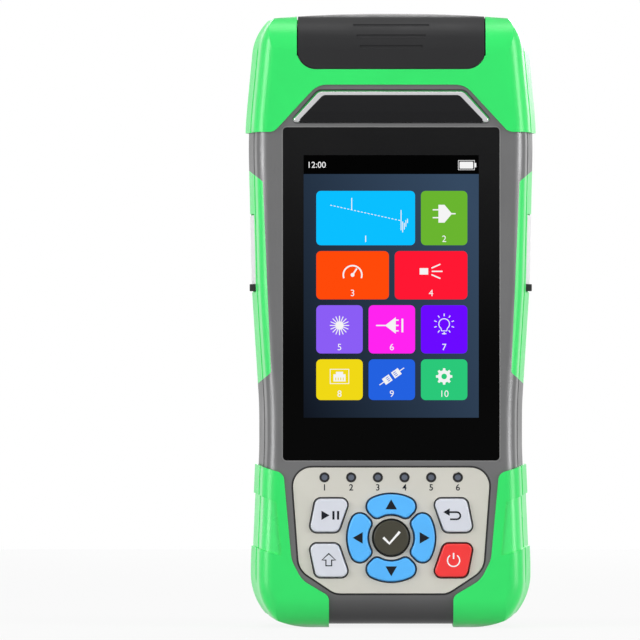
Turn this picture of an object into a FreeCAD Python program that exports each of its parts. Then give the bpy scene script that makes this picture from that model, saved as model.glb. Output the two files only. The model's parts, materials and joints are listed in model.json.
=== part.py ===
"""Handheld optical time domain reflectometer, as a parametric FreeCAD document.

Frame: +Z runs along the length, from the rubber feet to the port cover; the screen faces -Y and
+X is to the right as the user looks at the screen. The origin is at the bottom centre.
Lengths are millimetres and angles are degrees.
"""
import FreeCAD, Part
import math
import os
import re
import Sketcher

Vector = FreeCAD.Vector

SIZES = [
    # Housing outline, seen from the front: half widths and the levels where they hold.
    ("body_top", 171.0, "top of the housing under the rubber"),
    ("body_bottom", 1.0, "bottom of the housing between the rubber feet"),
    ("top_half", 36.7, "half width at the top corners"),
    ("top_corner", 14.0, "radius of the top corners"),
    ("shoulder_half", 40.1, "half width at the shoulders, the widest place"),
    ("shoulder_level", 138.7, "level of the shoulders and of the top bumper's lower edge"),
    ("middle_half", 39.1, "half width half way up the sides"),
    ("middle_level", 95.0, "level of that half width"),
    ("waist_half", 37.0, "half width at the waist"),
    ("waist_top", 62.0, "upper end of the waist"),
    ("waist_bottom", 50.0, "lower end of the waist"),
    ("hip_half", 38.4, "half width at the hips"),
    ("hip_level", 18.0, "level of the hips"),
    ("bottom_corner", 16.4, "radius of the bottom corners"),
    ("side_blend", 120.0, "radius that blends the side's straight runs"),
    # Housing depth: belt, parting line and faces.
    ("front_face", 21.0, "front face in front of the origin"),
    ("rear_face", 21.0, "rear face behind the origin"),
    ("parting", 8.0, "parting line of the two shells, in front of the origin"),
    ("belt_behind", 2.0, "widest section, behind the origin"),
    ("belt_inset", 1.6, "step of the outline between the belt and the parting line"),
    ("belt_draft", 8.0, "draft of the belt"),
    ("side_draft", 4.0, "draft of the side walls"),
    ("crown_radius", 375.0, "radius of the crowned top, seen from the front"),
    ("foot_flat", 22.0, "half width where the flat underside of each foot ends"),
    ("heel_radius", 26.0, "radius by which the foot turns up outside its flat underside"),
    ("end_room", 2.6, "length that the side profile trims off each end, so that the ends are square"),
    ("front_shoulder", 3.4, "rounding of the front edges"),
    ("rear_shoulder", 5.0, "rounding of the rear edges"),
    ("front_top_round", 9.8, "rounding of the side profile, front top"),
    ("rear_top_round", 8.0, "rounding of the side profile, rear top"),
    ("bottom_round", 7.0, "rounding of the side profile, front and rear bottom"),
    ("wall", 2.2, "wall of the shells behind the rubber's recess"),
    # Rubber.
    ("bumper_proud", 1.0, "height of the bumpers above the shells"),
    ("rubber_sink", 1.0, "depth that the rubber is let into the shells"),
    ("hood_half", 20.6, "half width of the raised notch over the nameplate"),
    ("hood_level", 151.9, "top of that notch"),
    ("hood_corner", 6.0, "radius of the notch's upper corners"),
    ("hood_foot_half", 32.8, "half width where the notch meets the bumper's lower edge"),
    ("hood_foot_corner", 3.0, "radius there"),
    ("foot_half", 17.4, "half width between the rubber feet"),
    ("foot_level", 8.9, "upper inner corner of each foot"),
    ("foot_corner", 2.2, "radius of that corner"),
    ("cheek_half", 25.0, "inner edge of the lower bumper beside the keypad's lower corner"),
    ("cheek_level", 13.4, "level of that point"),
    ("cheek_corner", 7.0, "rounding there"),
    ("flank_half", 27.9, "inner edge of the lower bumper beside the keypad"),
    ("flank_level", 19.0, "level of that point"),
    ("flank_corner", 8.0, "rounding there"),
    ("collar_half", 30.1, "upper inner corner of the lower bumper"),
    ("collar_level", 43.2, "level of that corner"),
    ("collar_corner", 2.5, "radius of that corner"),
    ("collar_slope", 17.0, "slope of the lower bumper's upper edge"),
    ("grip_top", 124.8, "upper inner corner of the side grip"),
    ("grip_bottom", 71.4, "lower inner corner of the side grip"),
    ("grip_top_half", 35.9, "inner edge of the side grip at its upper end"),
    ("grip_bottom_half", 33.6, "inner edge of the side grip at its lower end"),
    ("grip_corner", 1.2, "radius of the side grip's inner corners"),
    ("grip_slope", 40.0, "slope of the side grip's ends"),
    # Port cover, its recess and the port deck under it.
    ("cover_half", 26.1, "half width of the port cover"),
    ("cover_bottom", 156.5, "lower edge of the port cover's front skirt"),
    ("cover_corner", 5.0, "radius of the skirt's lower corners"),
    ("cover_wall", 2.2, "wall of the port cover"),
    ("cover_gap", 0.3, "gap all round the port cover"),
    ("groove_radius", 0.5, "radius of the port cover's grip grooves"),
    ("groove_depth", 0.3, "depth of the grooves"),
    ("groove_half", 10.6, "half length of the upper groove"),
    ("groove_level", 168.7, "level of the upper groove"),
    ("groove_pitch", 3.1, "spacing of the grooves"),
    ("groove_step", 0.9, "each groove is shorter by this at each end"),
    ("groove_count", 3, "number of grooves"),
    ("deck_level", 160.0, "port deck"),
    ("deck_wall", 2.6, "thickness of the deck"),
    ("hinge_behind", 12.0, "cover hinge axis, behind the origin"),
    ("hinge_level", 168.6, "level of the cover hinge axis"),
    ("hinge_pin_radius", 1.0, "radius of the hinge pin"),
    ("hinge_pin_seat", 4.0, "length of pin held in each side of the housing"),
    ("running_gap", 0.05, "radial clearance of the hinges"),
    # Display.
    ("lens_half", 30.3, "half width of the display lens"),
    ("lens_bottom", 46.8, "lower edge of the display lens"),
    ("lens_top", 140.0, "upper edge of the display lens"),
    ("lens_corner", 0.8, "corner radius of the display lens"),
    ("lens_thick", 1.5, "thickness of the display lens"),
    ("fit_gap", 0.25, "gap round the pieces that are let into the shells"),
    ("display_half", 27.2, "half width of the display module"),
    ("display_bottom", 54.2, "lower edge of the display module"),
    ("display_top", 136.6, "upper edge of the display module"),
    ("display_thick", 3.0, "thickness of the display module"),
    # Nameplate.
    ("plate_half_top", 20.4, "half width of the nameplate at its top"),
    ("plate_half_bottom", 28.7, "half width of the nameplate at its bottom"),
    ("plate_top", 150.4, "upper edge of the nameplate"),
    ("plate_bottom", 141.3, "lower edge of the nameplate"),
    ("plate_top_corner", 2.5, "radius of its upper corners"),
    ("plate_bottom_corner", 0.9, "radius of its lower corners"),
    ("plate_sink", 1.2, "depth that it is let into the front shell"),
    ("plate_proud", 0.7, "height above the front shell"),
    ("plate_bevel", 0.6, "bevel round its face"),
    # Keypad.
    ("panel_half", 28.1, "half width of the keypad panel at its top"),
    ("panel_top", 45.1, "upper edge of the keypad panel"),
    ("panel_top_corner", 5.5, "radius of its upper corners"),
    ("panel_cheek_half", 26.0, "half width at its lower side corners"),
    ("panel_cheek_level", 16.2, "level of those corners"),
    ("panel_cheek_corner", 6.0, "radius of those corners"),
    ("panel_chin_half", 15.8, "half width of its lower edge"),
    ("panel_bottom", 9.4, "lower edge of the keypad panel"),
    ("panel_chin_corner", 5.0, "radius at the ends of the lower edge"),
    ("panel_drop", 0.2, "panel's face behind the shell's face"),
    ("panel_thick", 1.4, "thickness of the keypad panel"),
    ("panel_ledge", 0.8, "ledge that carries the panel"),
    ("pad_level", 25.2, "centre of the arrow keys"),
    ("centre_key_radius", 4.9, "radius of the centre key"),
    ("arrow_outer", 12.15, "outer radius of the arrow keys"),
    ("arrow_inner", 6.65, "inner radius of the arrow keys"),
    ("arrow_half_gap", 0.75, "half the gap between neighbouring arrow keys"),
    ("arrow_outer_corner", 2.4, "radius of the arrow keys' outer corners"),
    ("arrow_inner_corner", 1.6, "radius of the arrow keys' inner corners"),
    ("side_key_inner_far", 11.6, "slanted key, corner nearest the middle, away from the arrow keys"),
    ("side_key_inner_near", 14.9, "slanted key, inner corner beside the arrow keys"),
    ("side_key_outer_far", 21.0, "slanted key, outer corner away from the arrow keys"),
    ("side_key_outer_near", 22.9, "slanted key, outer corner beside the arrow keys"),
    ("side_key_far", 10.9, "slanted key, far edge from the keypad's centre"),
    ("side_key_near", 1.7, "slanted key, near edge from the keypad's centre"),
    ("side_key_corner", 1.7, "corner radius of the slanted keys"),
    ("key_proud", 1.0, "height of the keys above the keypad panel"),
    ("key_edge", 0.4, "rounding of the keys' faces"),
    ("key_gap", 0.25, "gap round the keys"),
    ("key_flange", 0.6, "width of the flange that keeps a key in"),
    ("key_flange_thick", 0.7, "thickness of that flange"),
    ("key_rest_gap", 0.1, "gap between the flange and the panel"),
    ("key_travel", 0.8, "travel of the keys"),
    ("mat_gap", 0.1, "gap left between a pressed key and the mat"),
    ("mat_thick", 0.6, "thickness of the silicone mat"),
    ("mat_half", 24.6, "half width of the mat"),
    ("mat_top", 38.2, "upper edge of the mat"),
    ("mat_bottom", 12.2, "lower edge of the mat"),
    ("mat_corner", 5.0, "corner radius of the mat"),
    ("dome_radius", 2.2, "radius of a dome switch"),
    ("lamp_level", 42.1, "level of the status lamps"),
    ("lamp_pitch", 7.46, "pitch of the status lamps"),
    ("lamp_count", 6, "number of status lamps"),
    ("lamp_radius", 0.8, "radius of a light pipe at its face"),
    ("lamp_collar", 1.15, "radius of a light pipe's collar"),
    ("lamp_drop", 0.3, "light pipe's face behind the panel's face"),
    # Boards and modules inside.
    ("board_half", 27.4, "half width of the main board"),
    ("board_bottom", 12.0, "lower edge of the main board"),
    ("board_top", 152.0, "upper edge of the main board"),
    ("board_thick", 1.6, "thickness of the main board"),
    ("engine_half", 23.0, "half width of the optical engine"),
    ("engine_bottom", 88.0, "lower end of the optical engine"),
    ("engine_top", 149.0, "upper end of the optical engine"),
    ("engine_deep", 16.0, "depth of the optical engine"),
    ("cell_radius", 9.2, "radius of a battery cell"),
    ("cell_length", 66.0, "length of the battery pack"),
    ("cell_bottom", 13.0, "lower end of the battery pack"),
    ("cell_behind", 9.5, "axis of the cells, behind the origin"),
    # Optical ports on the deck.
    ("port_pitch", 17.0, "spacing of the optical ports"),
    ("port_forward", 2.0, "optical ports in front of the origin"),
    ("port_flange", 6.2, "half side of a port's square flange"),
    ("port_flange_thick", 1.2, "thickness of that flange"),
    ("port_radius", 4.0, "radius of a port's barrel"),
    ("port_length", 6.6, "height of the barrel above the deck"),
    ("port_bore", 1.25, "radius of the ferrule bore"),
    ("port_bore_depth", 6.0, "depth of the ferrule bore"),
    ("port_tail_radius", 3.2, "radius of a port's tail below the deck"),
    ("torch_radius", 2.5, "radius of the torch lens"),
    ("torch_half", 8.5, "torch lens from the middle"),
    ("torch_forward", 12.5, "torch lens in front of the origin"),
    ("torch_proud", 1.5, "height of the torch lens above the deck"),
    # Side ports and flaps.
    ("flap_top", 115.6, "hinge end of the side flaps"),
    ("flap_bottom", 96.2, "free end of the side flaps"),
    ("flap_half", 5.8, "half breadth of the side flaps"),
    ("flap_thick", 1.9, "thickness of the side flaps"),
    ("flap_gap", 0.3, "gap round the side flaps"),
    ("flap_hinge_half", 38.7, "flap hinge axes from the middle"),
    ("flap_bead", 1.1, "radius of the rounded bead at the hinge end of each flap"),
    ("tab_half", 3.0, "half breadth of a flap's pull tab"),
    ("tab_length", 2.0, "length of a flap's pull tab"),
    ("tab_proud", 0.6, "height of the pull tab above the flap"),
    ("jack_level", 107.0, "centre of the side sockets"),
    ("jack_half", 8.0, "half length of the network jack, along the housing"),
    ("jack_breadth", 13.4, "breadth of the network jack"),
    ("jack_deep", 13.0, "depth of the network jack"),
    ("jack_mouth_half", 5.9, "half length of the jack's mouth"),
    ("jack_mouth_breadth", 6.8, "breadth of the jack's mouth"),
    ("jack_mouth_deep", 10.0, "depth of the jack's mouth"),
    ("charge_half", 4.5, "half length of the charging socket's mouth"),
    ("charge_breadth", 3.2, "breadth of the charging socket's mouth"),
    ("charge_wall", 0.8, "wall of the charging socket"),
    ("charge_deep", 8.0, "depth of the charging socket"),
    # Rear: battery door, stand and screws.
    ("door_half", 21.5, "half width of the battery door"),
    ("door_bottom", 10.5, "lower edge of the battery door"),
    ("door_top", 86.0, "upper edge of the battery door"),
    ("door_corner", 3.0, "corner radius of the battery door"),
    ("door_thick", 2.0, "thickness of the battery door"),
    ("door_ledge", 2.0, "ledge that carries the battery door"),
    ("door_screw_half", 15.0, "battery door's screws from the middle"),
    ("door_screw_level", 83.0, "level of the battery door's screws"),
    ("door_boss_radius", 2.4, "radius of their bosses"),
    ("door_screw_bite", 4.0, "length of thread of the battery door's screws"),
    ("stand_half", 20.0, "half width of the stand"),
    ("stand_top", 134.0, "upper end of the stand"),
    ("stand_bottom", 94.0, "lower end of the stand"),
    ("stand_corner", 4.0, "corner radius of the stand's foot"),
    ("stand_thick", 2.4, "thickness of the stand"),
    ("stand_gap", 0.4, "gap round the stand"),
    ("stand_pin_radius", 0.7, "radius of the stand's pin"),
    ("stand_pin_seat", 3.0, "length of pin held at each side of the stand"),
    ("stand_backing", 2.0, "wall in front of the stand's recess"),
    ("finger_length", 5.0, "finger notch below the stand"),
    ("finger_half", 8.0, "half width of the finger notch"),
    ("screw_radius", 1.25, "radius of the case screws"),
    ("screw_head_radius", 2.3, "radius of their heads"),
    ("screw_head_thick", 1.6, "height of their heads"),
    ("screw_sink", 2.2, "depth of their heads below the rear face"),
    ("screw_slack", 0.2, "radial slack of a screw in the rear shell"),
    ("screw_bite", 5.0, "length of thread in the front shell"),
    ("boss_radius", 3.0, "radius of the screw bosses"),
    ("upper_screw_half", 31.0, "upper case screws from the middle"),
    ("upper_screw_level", 133.2, "level of the upper case screws"),
    ("lower_screw_half", 27.0, "lower case screws from the middle"),
    ("lower_screw_level", 48.8, "level of the lower case screws"),
]

REACH = 60.0  # half size of the blocks that only cut or pick out regions; clear of the housing

doc = FreeCAD.newDocument("reflectometer")
sheet = doc.addObject("Spreadsheet::Sheet", "Sizes")
for row, (alias, size, note) in enumerate(SIZES, start=1):
    sheet.set(f"A{row}", alias)
    sheet.set(f"B{row}", str(size))
    sheet.set(f"C{row}", note)
    sheet.setAlias(f"B{row}", alias)
doc.recompute()
ALIASES = {alias for alias, size, note in SIZES}


# Formulas, sketches and features.

def bound(formula):
    """The formula with the name of each size pointing at its cell in the sheet."""
    def cell(word):
        return "Sizes." + word.group(0) if word.group(0) in ALIASES else word.group(0)
    return re.sub(r"[a-z][a-z_]+", cell, formula)


def number(formula):
    """The value of a formula with the sheet's present sizes."""
    return float(sheet.evalExpression(bound(formula)))


def add_body(label):
    body = doc.addObject("PartDesign::Body", label)
    body.Label = label
    return body


def sketch_on(body, role, offset="0"):
    """Empty sketch on one of the body's own planes, moved along the plane's normal."""
    sketch = body.newObject("Sketcher::SketchObject", body.Label + "_sketch")
    plane = [feature for feature in body.Origin.OriginFeatures if feature.Role == role][0]
    sketch.AttachmentSupport = [(plane, "")]
    sketch.MapMode = "FlatFace"
    sketch.setExpression("AttachmentOffset.Base.z", bound(offset))
    return sketch


def front_sketch(body, behind="0"):
    """Sketch seen from the front, at a distance behind the origin: its axes are X and Z."""
    return sketch_on(body, "XZ_Plane", f"-({behind})")


def corner_arc(point, before, after, radius):
    """Rounded corner: where it starts and ends, its arc, and whether the outline turns left."""
    to_before = before - point
    to_after = after - point
    to_before.normalize()
    to_after.normalize()
    angle = to_before.getAngle(to_after)
    tangent = radius / math.tan(angle / 2)
    middle = to_before + to_after
    middle.normalize()
    centre = point + middle * (radius / math.sin(angle / 2))
    start = point + to_before * tangent
    end = point + to_after * tangent
    left = to_after.cross(to_before).z > 0
    first, last = (start, end) if left else (end, start)
    from_angle = math.atan2(first.y - centre.y, first.x - centre.x)
    to_angle = math.atan2(last.y - centre.y, last.x - centre.x)
    if to_angle < from_angle:
        to_angle += 2 * math.pi
    circle = Part.Circle(centre, Vector(0, 0, 1), radius)
    return start, end, Part.ArcOfCircle(circle, from_angle, to_angle), left


def add_outline(sketch, corners):
    """Closed outline through corners (across, up, radius), each a formula; radius "0" is sharp."""
    points = [Vector(number(across), number(up), 0) for across, up, radius in corners]
    radii = [number(radius) for across, up, radius in corners]
    count = len(corners)
    arcs = {}
    starts = list(points)
    ends = list(points)
    for i in range(count):
        if radii[i] > 0:
            found = corner_arc(points[i], points[i - 1], points[(i + 1) % count], radii[i])
            starts[i], ends[i] = found[0], found[1]
            arcs[i] = found[2:]
    lines = []
    for i in range(count):
        segment = Part.LineSegment(ends[i], starts[(i + 1) % count])
        lines.append(sketch.addGeometry(segment, False))
    rules = []
    driven = []
    for i in range(count):
        before, after = lines[i - 1], lines[i]
        if i in arcs:
            arc, left = arcs[i]
            index = sketch.addGeometry(arc, False)
            corner = sketch.addGeometry(Part.Point(points[i]), True)
            first, last = (1, 2) if left else (2, 1)
            rules.append(Sketcher.Constraint("Tangent", before, 2, index, first))
            rules.append(Sketcher.Constraint("Tangent", index, last, after, 1))
            rules.append(Sketcher.Constraint("PointOnObject", corner, 1, before))
            rules.append(Sketcher.Constraint("PointOnObject", corner, 1, after))
            rules.append(Sketcher.Constraint("Radius", index, radii[i]))
            driven.append((sketch.ConstraintCount + len(rules) - 1, corners[i][2]))
        else:
            corner = after
            rules.append(Sketcher.Constraint("Coincident", before, 2, after, 1))
        rules.append(Sketcher.Constraint("DistanceX", corner, 1, points[i].x))
        driven.append((sketch.ConstraintCount + len(rules) - 1, corners[i][0]))
        rules.append(Sketcher.Constraint("DistanceY", corner, 1, points[i].y))
        driven.append((sketch.ConstraintCount + len(rules) - 1, corners[i][1]))
    sketch.addConstraint(rules)
    for index, formula in driven:
        sketch.setExpression(f"Constraints[{index}]", bound(formula))


def add_circle(sketch, across, up, radius):
    """Circle whose centre and radius are formulas."""
    centre = Vector(number(across), number(up), 0)
    circle = sketch.addGeometry(Part.Circle(centre, Vector(0, 0, 1), number(radius)), False)
    first = sketch.ConstraintCount
    sketch.addConstraint([
        Sketcher.Constraint("DistanceX", circle, 3, centre.x),
        Sketcher.Constraint("DistanceY", circle, 3, centre.y),
        Sketcher.Constraint("Radius", circle, number(radius)),
    ])
    for index, formula in enumerate((across, up, radius), start=first):
        sketch.setExpression(f"Constraints[{index}]", bound(formula))


def add_arrow_outline(sketch, middle, grow):
    """Sector of a ring between two lines that run beside the diagonals; middle is its direction."""
    outer_radius = f"arrow_outer + {grow}"
    inner_radius = f"arrow_inner - {grow}"
    half_gap = f"(arrow_half_gap - {grow})"
    centre = Vector(0, number("pad_level"), 0)

    def side(radius, sign):
        return f"{middle} deg + {sign} * (45 deg - asin({half_gap} / ({radius})))"

    def arc(radius):
        low = math.radians(number(side(radius, -1)))
        high = math.radians(number(side(radius, 1)))
        circle = Part.Circle(centre, Vector(0, 0, 1), number(radius))
        return sketch.addGeometry(Part.ArcOfCircle(circle, low, high), False)

    def point(radius, sign):
        turn = math.radians(number(side(radius, sign)))
        return centre + Vector(math.cos(turn), math.sin(turn), 0) * number(radius)

    outer = arc(outer_radius)
    inner = arc(inner_radius)
    ends = {}
    for sign in (-1, 1):
        segment = Part.LineSegment(point(inner_radius, sign), point(outer_radius, sign))
        ends[sign] = sketch.addGeometry(segment, False)
    rules = [
        Sketcher.Constraint("Coincident", inner, 3, outer, 3),
        Sketcher.Constraint("Coincident", ends[-1], 1, inner, 1),
        Sketcher.Constraint("Coincident", ends[-1], 2, outer, 1),
        Sketcher.Constraint("Coincident", ends[1], 1, inner, 2),
        Sketcher.Constraint("Coincident", ends[1], 2, outer, 2),
    ]
    driven = []
    for rule, formula in (
        (("DistanceX", outer, 3), "0"),
        (("DistanceY", outer, 3), "pad_level"),
        (("Radius", outer), outer_radius),
        (("Radius", inner), inner_radius),
        (("DistanceX", outer, 1), f"({outer_radius}) * cos({side(outer_radius, -1)})"),
        (("DistanceX", outer, 2), f"({outer_radius}) * cos({side(outer_radius, 1)})"),
        (("DistanceX", inner, 1), f"({inner_radius}) * cos({side(inner_radius, -1)})"),
        (("DistanceX", inner, 2), f"({inner_radius}) * cos({side(inner_radius, 1)})"),
    ):
        driven.append((sketch.ConstraintCount + len(rules), formula))
        rules.append(Sketcher.Constraint(*rule, number(formula)))
    sketch.addConstraint(rules)
    for index, formula in driven:
        sketch.setExpression(f"Constraints[{index}]", bound(formula))


def both_sides(right_half):
    """Whole outline, left turning, from its right half listed from the bottom up."""
    return right_half + [(f"-({across})", up, radius) for across, up, radius in reversed(right_half)]


def add_pad(body, sketch, length, draft="0", backward=False):
    """Pad along the sketch's normal, or against it; a draft narrows it on the way."""
    pad = body.newObject("PartDesign::Pad", sketch.Label + "_pad")
    pad.Profile = sketch
    pad.setExpression("Length", bound(length))
    pad.setExpression("TaperAngle", bound(f"-({draft})"))
    pad.Reversed = backward
    doc.recompute()
    return pad


def add_pocket(body, sketch, length, backward=False):
    """Pocket; it must take something away."""
    before = body.Shape.Volume
    pocket = body.newObject("PartDesign::Pocket", sketch.Label + "_pocket")
    pocket.Profile = sketch
    pocket.setExpression("Length", bound(length))
    pocket.Reversed = backward
    doc.recompute()
    if body.Shape.Volume >= before:
        raise RuntimeError(f"{body.Label}: {pocket.Label} cuts nothing")
    return pocket


def round_edges(body, base, chosen, radius):
    """Fillet of the edges of the base that a test chooses."""
    edges = [f"Edge{i}" for i, edge in enumerate(base.Shape.Edges, start=1) if chosen(edge)]
    fillet = body.newObject("PartDesign::Fillet", body.Label + "_fillet")
    fillet.Base = (base, edges)
    fillet.setExpression("Radius", bound(radius))
    doc.recompute()
    return fillet


def bevel_edges(body, base, chosen, size):
    """Chamfer of the edges of the base that a test chooses."""
    edges = [f"Edge{i}" for i, edge in enumerate(base.Shape.Edges, start=1) if chosen(edge)]
    chamfer = body.newObject("PartDesign::Chamfer", body.Label + "_chamfer")
    chamfer.Base = (base, edges)
    chamfer.setExpression("Size", bound(size))
    doc.recompute()
    return chamfer


def lies_at(behind):
    """Test for edges that lie wholly in the plane Y = behind."""
    level = number(behind)

    def test(edge):
        box = edge.BoundBox
        return abs(box.YMin - level) < 0.001 and abs(box.YMax - level) < 0.001
    return test


def add_plate(label, corners, behind, thick):
    """Plate with an outline seen from the front; its front face is at Y = behind."""
    body = add_body(label)
    sketch = front_sketch(body, behind)
    add_outline(sketch, corners)
    add_pad(body, sketch, thick, backward=True)
    return body


def add_box(label, across, behind, up):
    """Box from three (low, high) pairs of formulas."""
    box = doc.addObject("Part::Box", label)
    box.Label = label
    for side, place, (low, high) in zip(("Length", "Width", "Height"), "xyz", (across, behind, up)):
        box.setExpression(side, bound(f"({high}) - ({low})"))
        box.setExpression(f"Placement.Base.{place}", bound(low))
    return box


TURNS = {
    "x": FreeCAD.Rotation(Vector(0, 1, 0), 90),
    "y": FreeCAD.Rotation(Vector(1, 0, 0), -90),
    "z": FreeCAD.Rotation(),
}


def add_rod(label, axis, start, radius, length):
    """Cylinder along an axis from a start point given as three formulas."""
    rod = doc.addObject("Part::Cylinder", label)
    rod.Label = label
    rod.Placement = FreeCAD.Placement(Vector(), TURNS[axis])
    rod.setExpression("Radius", bound(radius))
    rod.setExpression("Height", bound(length))
    for place, formula in zip("xyz", start):
        rod.setExpression(f"Placement.Base.{place}", bound(formula))
    return rod


def cut(label, base, tool):
    result = doc.addObject("Part::Cut", label)
    result.Label = label
    result.Base = base
    result.Tool = tool
    doc.recompute()
    return result


def common(label, first, second):
    result = doc.addObject("Part::Common", label)
    result.Label = label
    result.Base = first
    result.Tool = second
    doc.recompute()
    return result


def fuse(label, pieces):
    result = doc.addObject("Part::MultiFuse", label)
    result.Label = label
    result.Shapes = pieces
    doc.recompute()
    return result


def mirror(label, source):
    """The same piece on the left."""
    result = doc.addObject("Part::Mirroring", label)
    result.Label = label
    result.Source = source
    result.Normal = Vector(1, 0, 0)
    doc.recompute()
    return result


def group(label, pieces):
    """Separate solids that share one node."""
    result = doc.addObject("Part::Compound", label)
    result.Label = label
    result.Links = pieces
    doc.recompute()
    return result


# Housing forms: the same moulded form at several depths.

def housing_outline(grow, inset):
    """Outline of the housing, grown all round and set in by the belt's step.

    Both ends are longer than the housing: the side profile trims them square.
    """
    out = f"{grow} - ({inset})"
    top = f"body_top + end_room + {grow}"
    bottom = f"body_bottom - end_room - ({grow})"
    return both_sides([
        (f"hip_half + {out}", bottom, f"bottom_corner + {out}"),
        (f"hip_half + {out}", "hip_level", "side_blend"),
        (f"waist_half + {out}", "waist_bottom", "side_blend"),
        (f"waist_half + {out}", "waist_top", "side_blend"),
        (f"middle_half + {out}", "middle_level", "side_blend"),
        (f"shoulder_half + {out}", "shoulder_level", "side_blend"),
        (f"top_half + {out}", top, f"top_corner + {out}"),
    ])


def housing_form(label, grow):
    """The housing's outer form grown by a depth: drafted plan form within the side profile."""
    plan = add_body(label + "_plan")
    belt = front_sketch(plan, "belt_behind")
    add_outline(belt, housing_outline(grow, "0"))
    add_pad(plan, belt, "belt_behind + parting", "belt_draft")
    rear = front_sketch(plan, "belt_behind")
    add_outline(rear, housing_outline(grow, "0"))
    add_pad(plan, rear, f"rear_face + {grow} - belt_behind", "side_draft", backward=True)
    front = front_sketch(plan, "-parting")
    add_outline(front, housing_outline(grow, "belt_inset"))
    pads = add_pad(plan, front, f"front_face + {grow} - parting", "side_draft")
    shoulder = round_edges(plan, pads, lies_at(f"-(front_face + {grow})"),
                           f"front_shoulder + {grow}")
    round_edges(plan, shoulder, lies_at(f"rear_face + {grow}"), f"rear_shoulder + {grow}")
    profile = add_body(label + "_profile")
    side = sketch_on(profile, "YZ_Plane", f"-{REACH}")
    add_outline(side, [
        (f"-(front_face + {grow})", f"body_bottom - ({grow})", f"bottom_round + {grow}"),
        (f"rear_face + {grow}", f"body_bottom - ({grow})", f"bottom_round + {grow}"),
        (f"rear_face + {grow}", f"body_top + {grow}", f"rear_top_round + {grow}"),
        (f"-(front_face + {grow})", f"body_top + {grow}", f"front_top_round + {grow}"),
    ])
    add_pad(profile, side, f"2 * {REACH}")
    return common(label, plan, profile)


far = str(REACH)


def region(label, corners):
    """Prism through the whole depth over a region seen from the front."""
    body = add_body(label)
    sketch = front_sketch(body, f"-{far}")
    add_outline(sketch, corners)
    add_pad(body, sketch, f"2 * {far}", backward=True)
    return body


# The grown form has a crowned top, and its feet turn up outside their flat undersides.
COVER_TOP = "body_top + bumper_proud"
FOOT_LEVEL = "body_bottom - bumper_proud"
crown = add_rod("crown", "y", ("0", f"-{far}", f"{COVER_TOP} - crown_radius"), "crown_radius",
                f"2 * {far}")
heel_form = region("heel_form", both_sides([
    ("foot_flat + heel_radius", FOOT_LEVEL, "heel_radius"),
    ("foot_flat + heel_radius", f"body_top + {far}", "0"),
]))
square_form = housing_form("square_form", "bumper_proud")
skin_form = common("skin_form", common("crowned_form", square_form, crown), heel_form)
shell_form = housing_form("shell_form", "0")
seat_form = housing_form("seat_form", "-rubber_sink")
cavity_form = housing_form("cavity_form", "-(rubber_sink + wall)")

# Regions of the form that each rubber piece covers, and the recess of the port cover.

lower_corners = [
    ("foot_half", f"-{far}", "0"),
    (far, f"-{far}", "0"),
    (far, f"collar_level + ({far} - collar_half) * tan(collar_slope)", "0"),
    ("collar_half", "collar_level", "collar_corner"),
    ("flank_half", "flank_level", "flank_corner"),
    ("cheek_half", "cheek_level", "cheek_corner"),
    ("foot_half", "foot_level", "foot_corner"),
]
grip_corners = [
    ("grip_bottom_half", "grip_bottom", "grip_corner"),
    (far, f"grip_bottom - ({far} - grip_bottom_half) * tan(grip_slope)", "0"),
    (far, f"grip_top + ({far} - grip_top_half) * tan(grip_slope)", "0"),
    ("grip_top_half", "grip_top", "grip_corner"),
]
top_region = region("top_region", both_sides([
    ("hood_half", "hood_level", "hood_corner"),
    ("hood_foot_half", "shoulder_level", "hood_foot_corner"),
    (far, "shoulder_level", "0"),
    (far, f"body_top + {far}", "0"),
]))
right_lower_region = region("right_lower_region", lower_corners)
right_grip_region = region("right_grip_region", grip_corners)

KNUCKLE = f"{COVER_TOP} - hinge_level"
SKIRT_BACK = "-(front_face + bumper_proud - cover_wall)"


def cover_block(label, gap, rear):
    """Block of the port cover grown by a gap: the part above the deck and the front skirt."""
    half = f"cover_half + {gap}"
    floor = f"deck_level + cover_gap - {gap}"
    above = add_box(label + "_above", (f"-({half})", half),
                    (f"-{far}", rear),
                    (floor, f"body_top + {far}"))
    skirt = add_body(label + "_skirt")
    sketch = front_sketch(skirt, f"-{far}")
    low = f"cover_bottom - {gap}"
    corner = f"cover_corner + {gap}"
    add_outline(sketch, [
        (f"-({half})", low, corner),
        (half, low, corner),
        (half, f"body_top + {far}", "0"),
        (f"-({half})", f"body_top + {far}", "0"),
    ])
    add_pad(skirt, sketch, f"{far} + {SKIRT_BACK} + {gap}", backward=True)
    return fuse(label, [above, skirt])


cover_recess = cover_block("cover_recess", "cover_gap", f"hinge_behind + {KNUCKLE} + cover_gap")


# Rubber: a skin between the grown form and the seat that is let into the shells.

def rubber(label, form, where, windows):
    skin = cut(label + "_skin", common(label + "_patch", form, where), seat_form)
    return cut(label, skin, windows)


FLAP_WINDOW_TOP = "flap_top + flap_gap"
FLAP_WINDOW_BOTTOM = "flap_bottom - tab_length - flap_gap"


top_bumper = rubber("top_bumper", skin_form, top_region, cover_recess)
flap_window = add_box("flap_window", ("0", far), ("-(flap_half + flap_gap)", "flap_half + flap_gap"),
                      (FLAP_WINDOW_BOTTOM, FLAP_WINDOW_TOP))
right_side_grip = rubber("right_side_grip", shell_form, right_grip_region, flap_window)
left_side_grip = mirror("left_side_grip", right_side_grip)
right_lower_bumper = cut("right_lower_bumper",
                         common("right_lower_patch", skin_form, right_lower_region), seat_form)
left_lower_bumper = mirror("left_lower_bumper", right_lower_bumper)

# Shells: the form less the rubber's seats and the hollow, parted at the parting line.

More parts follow.
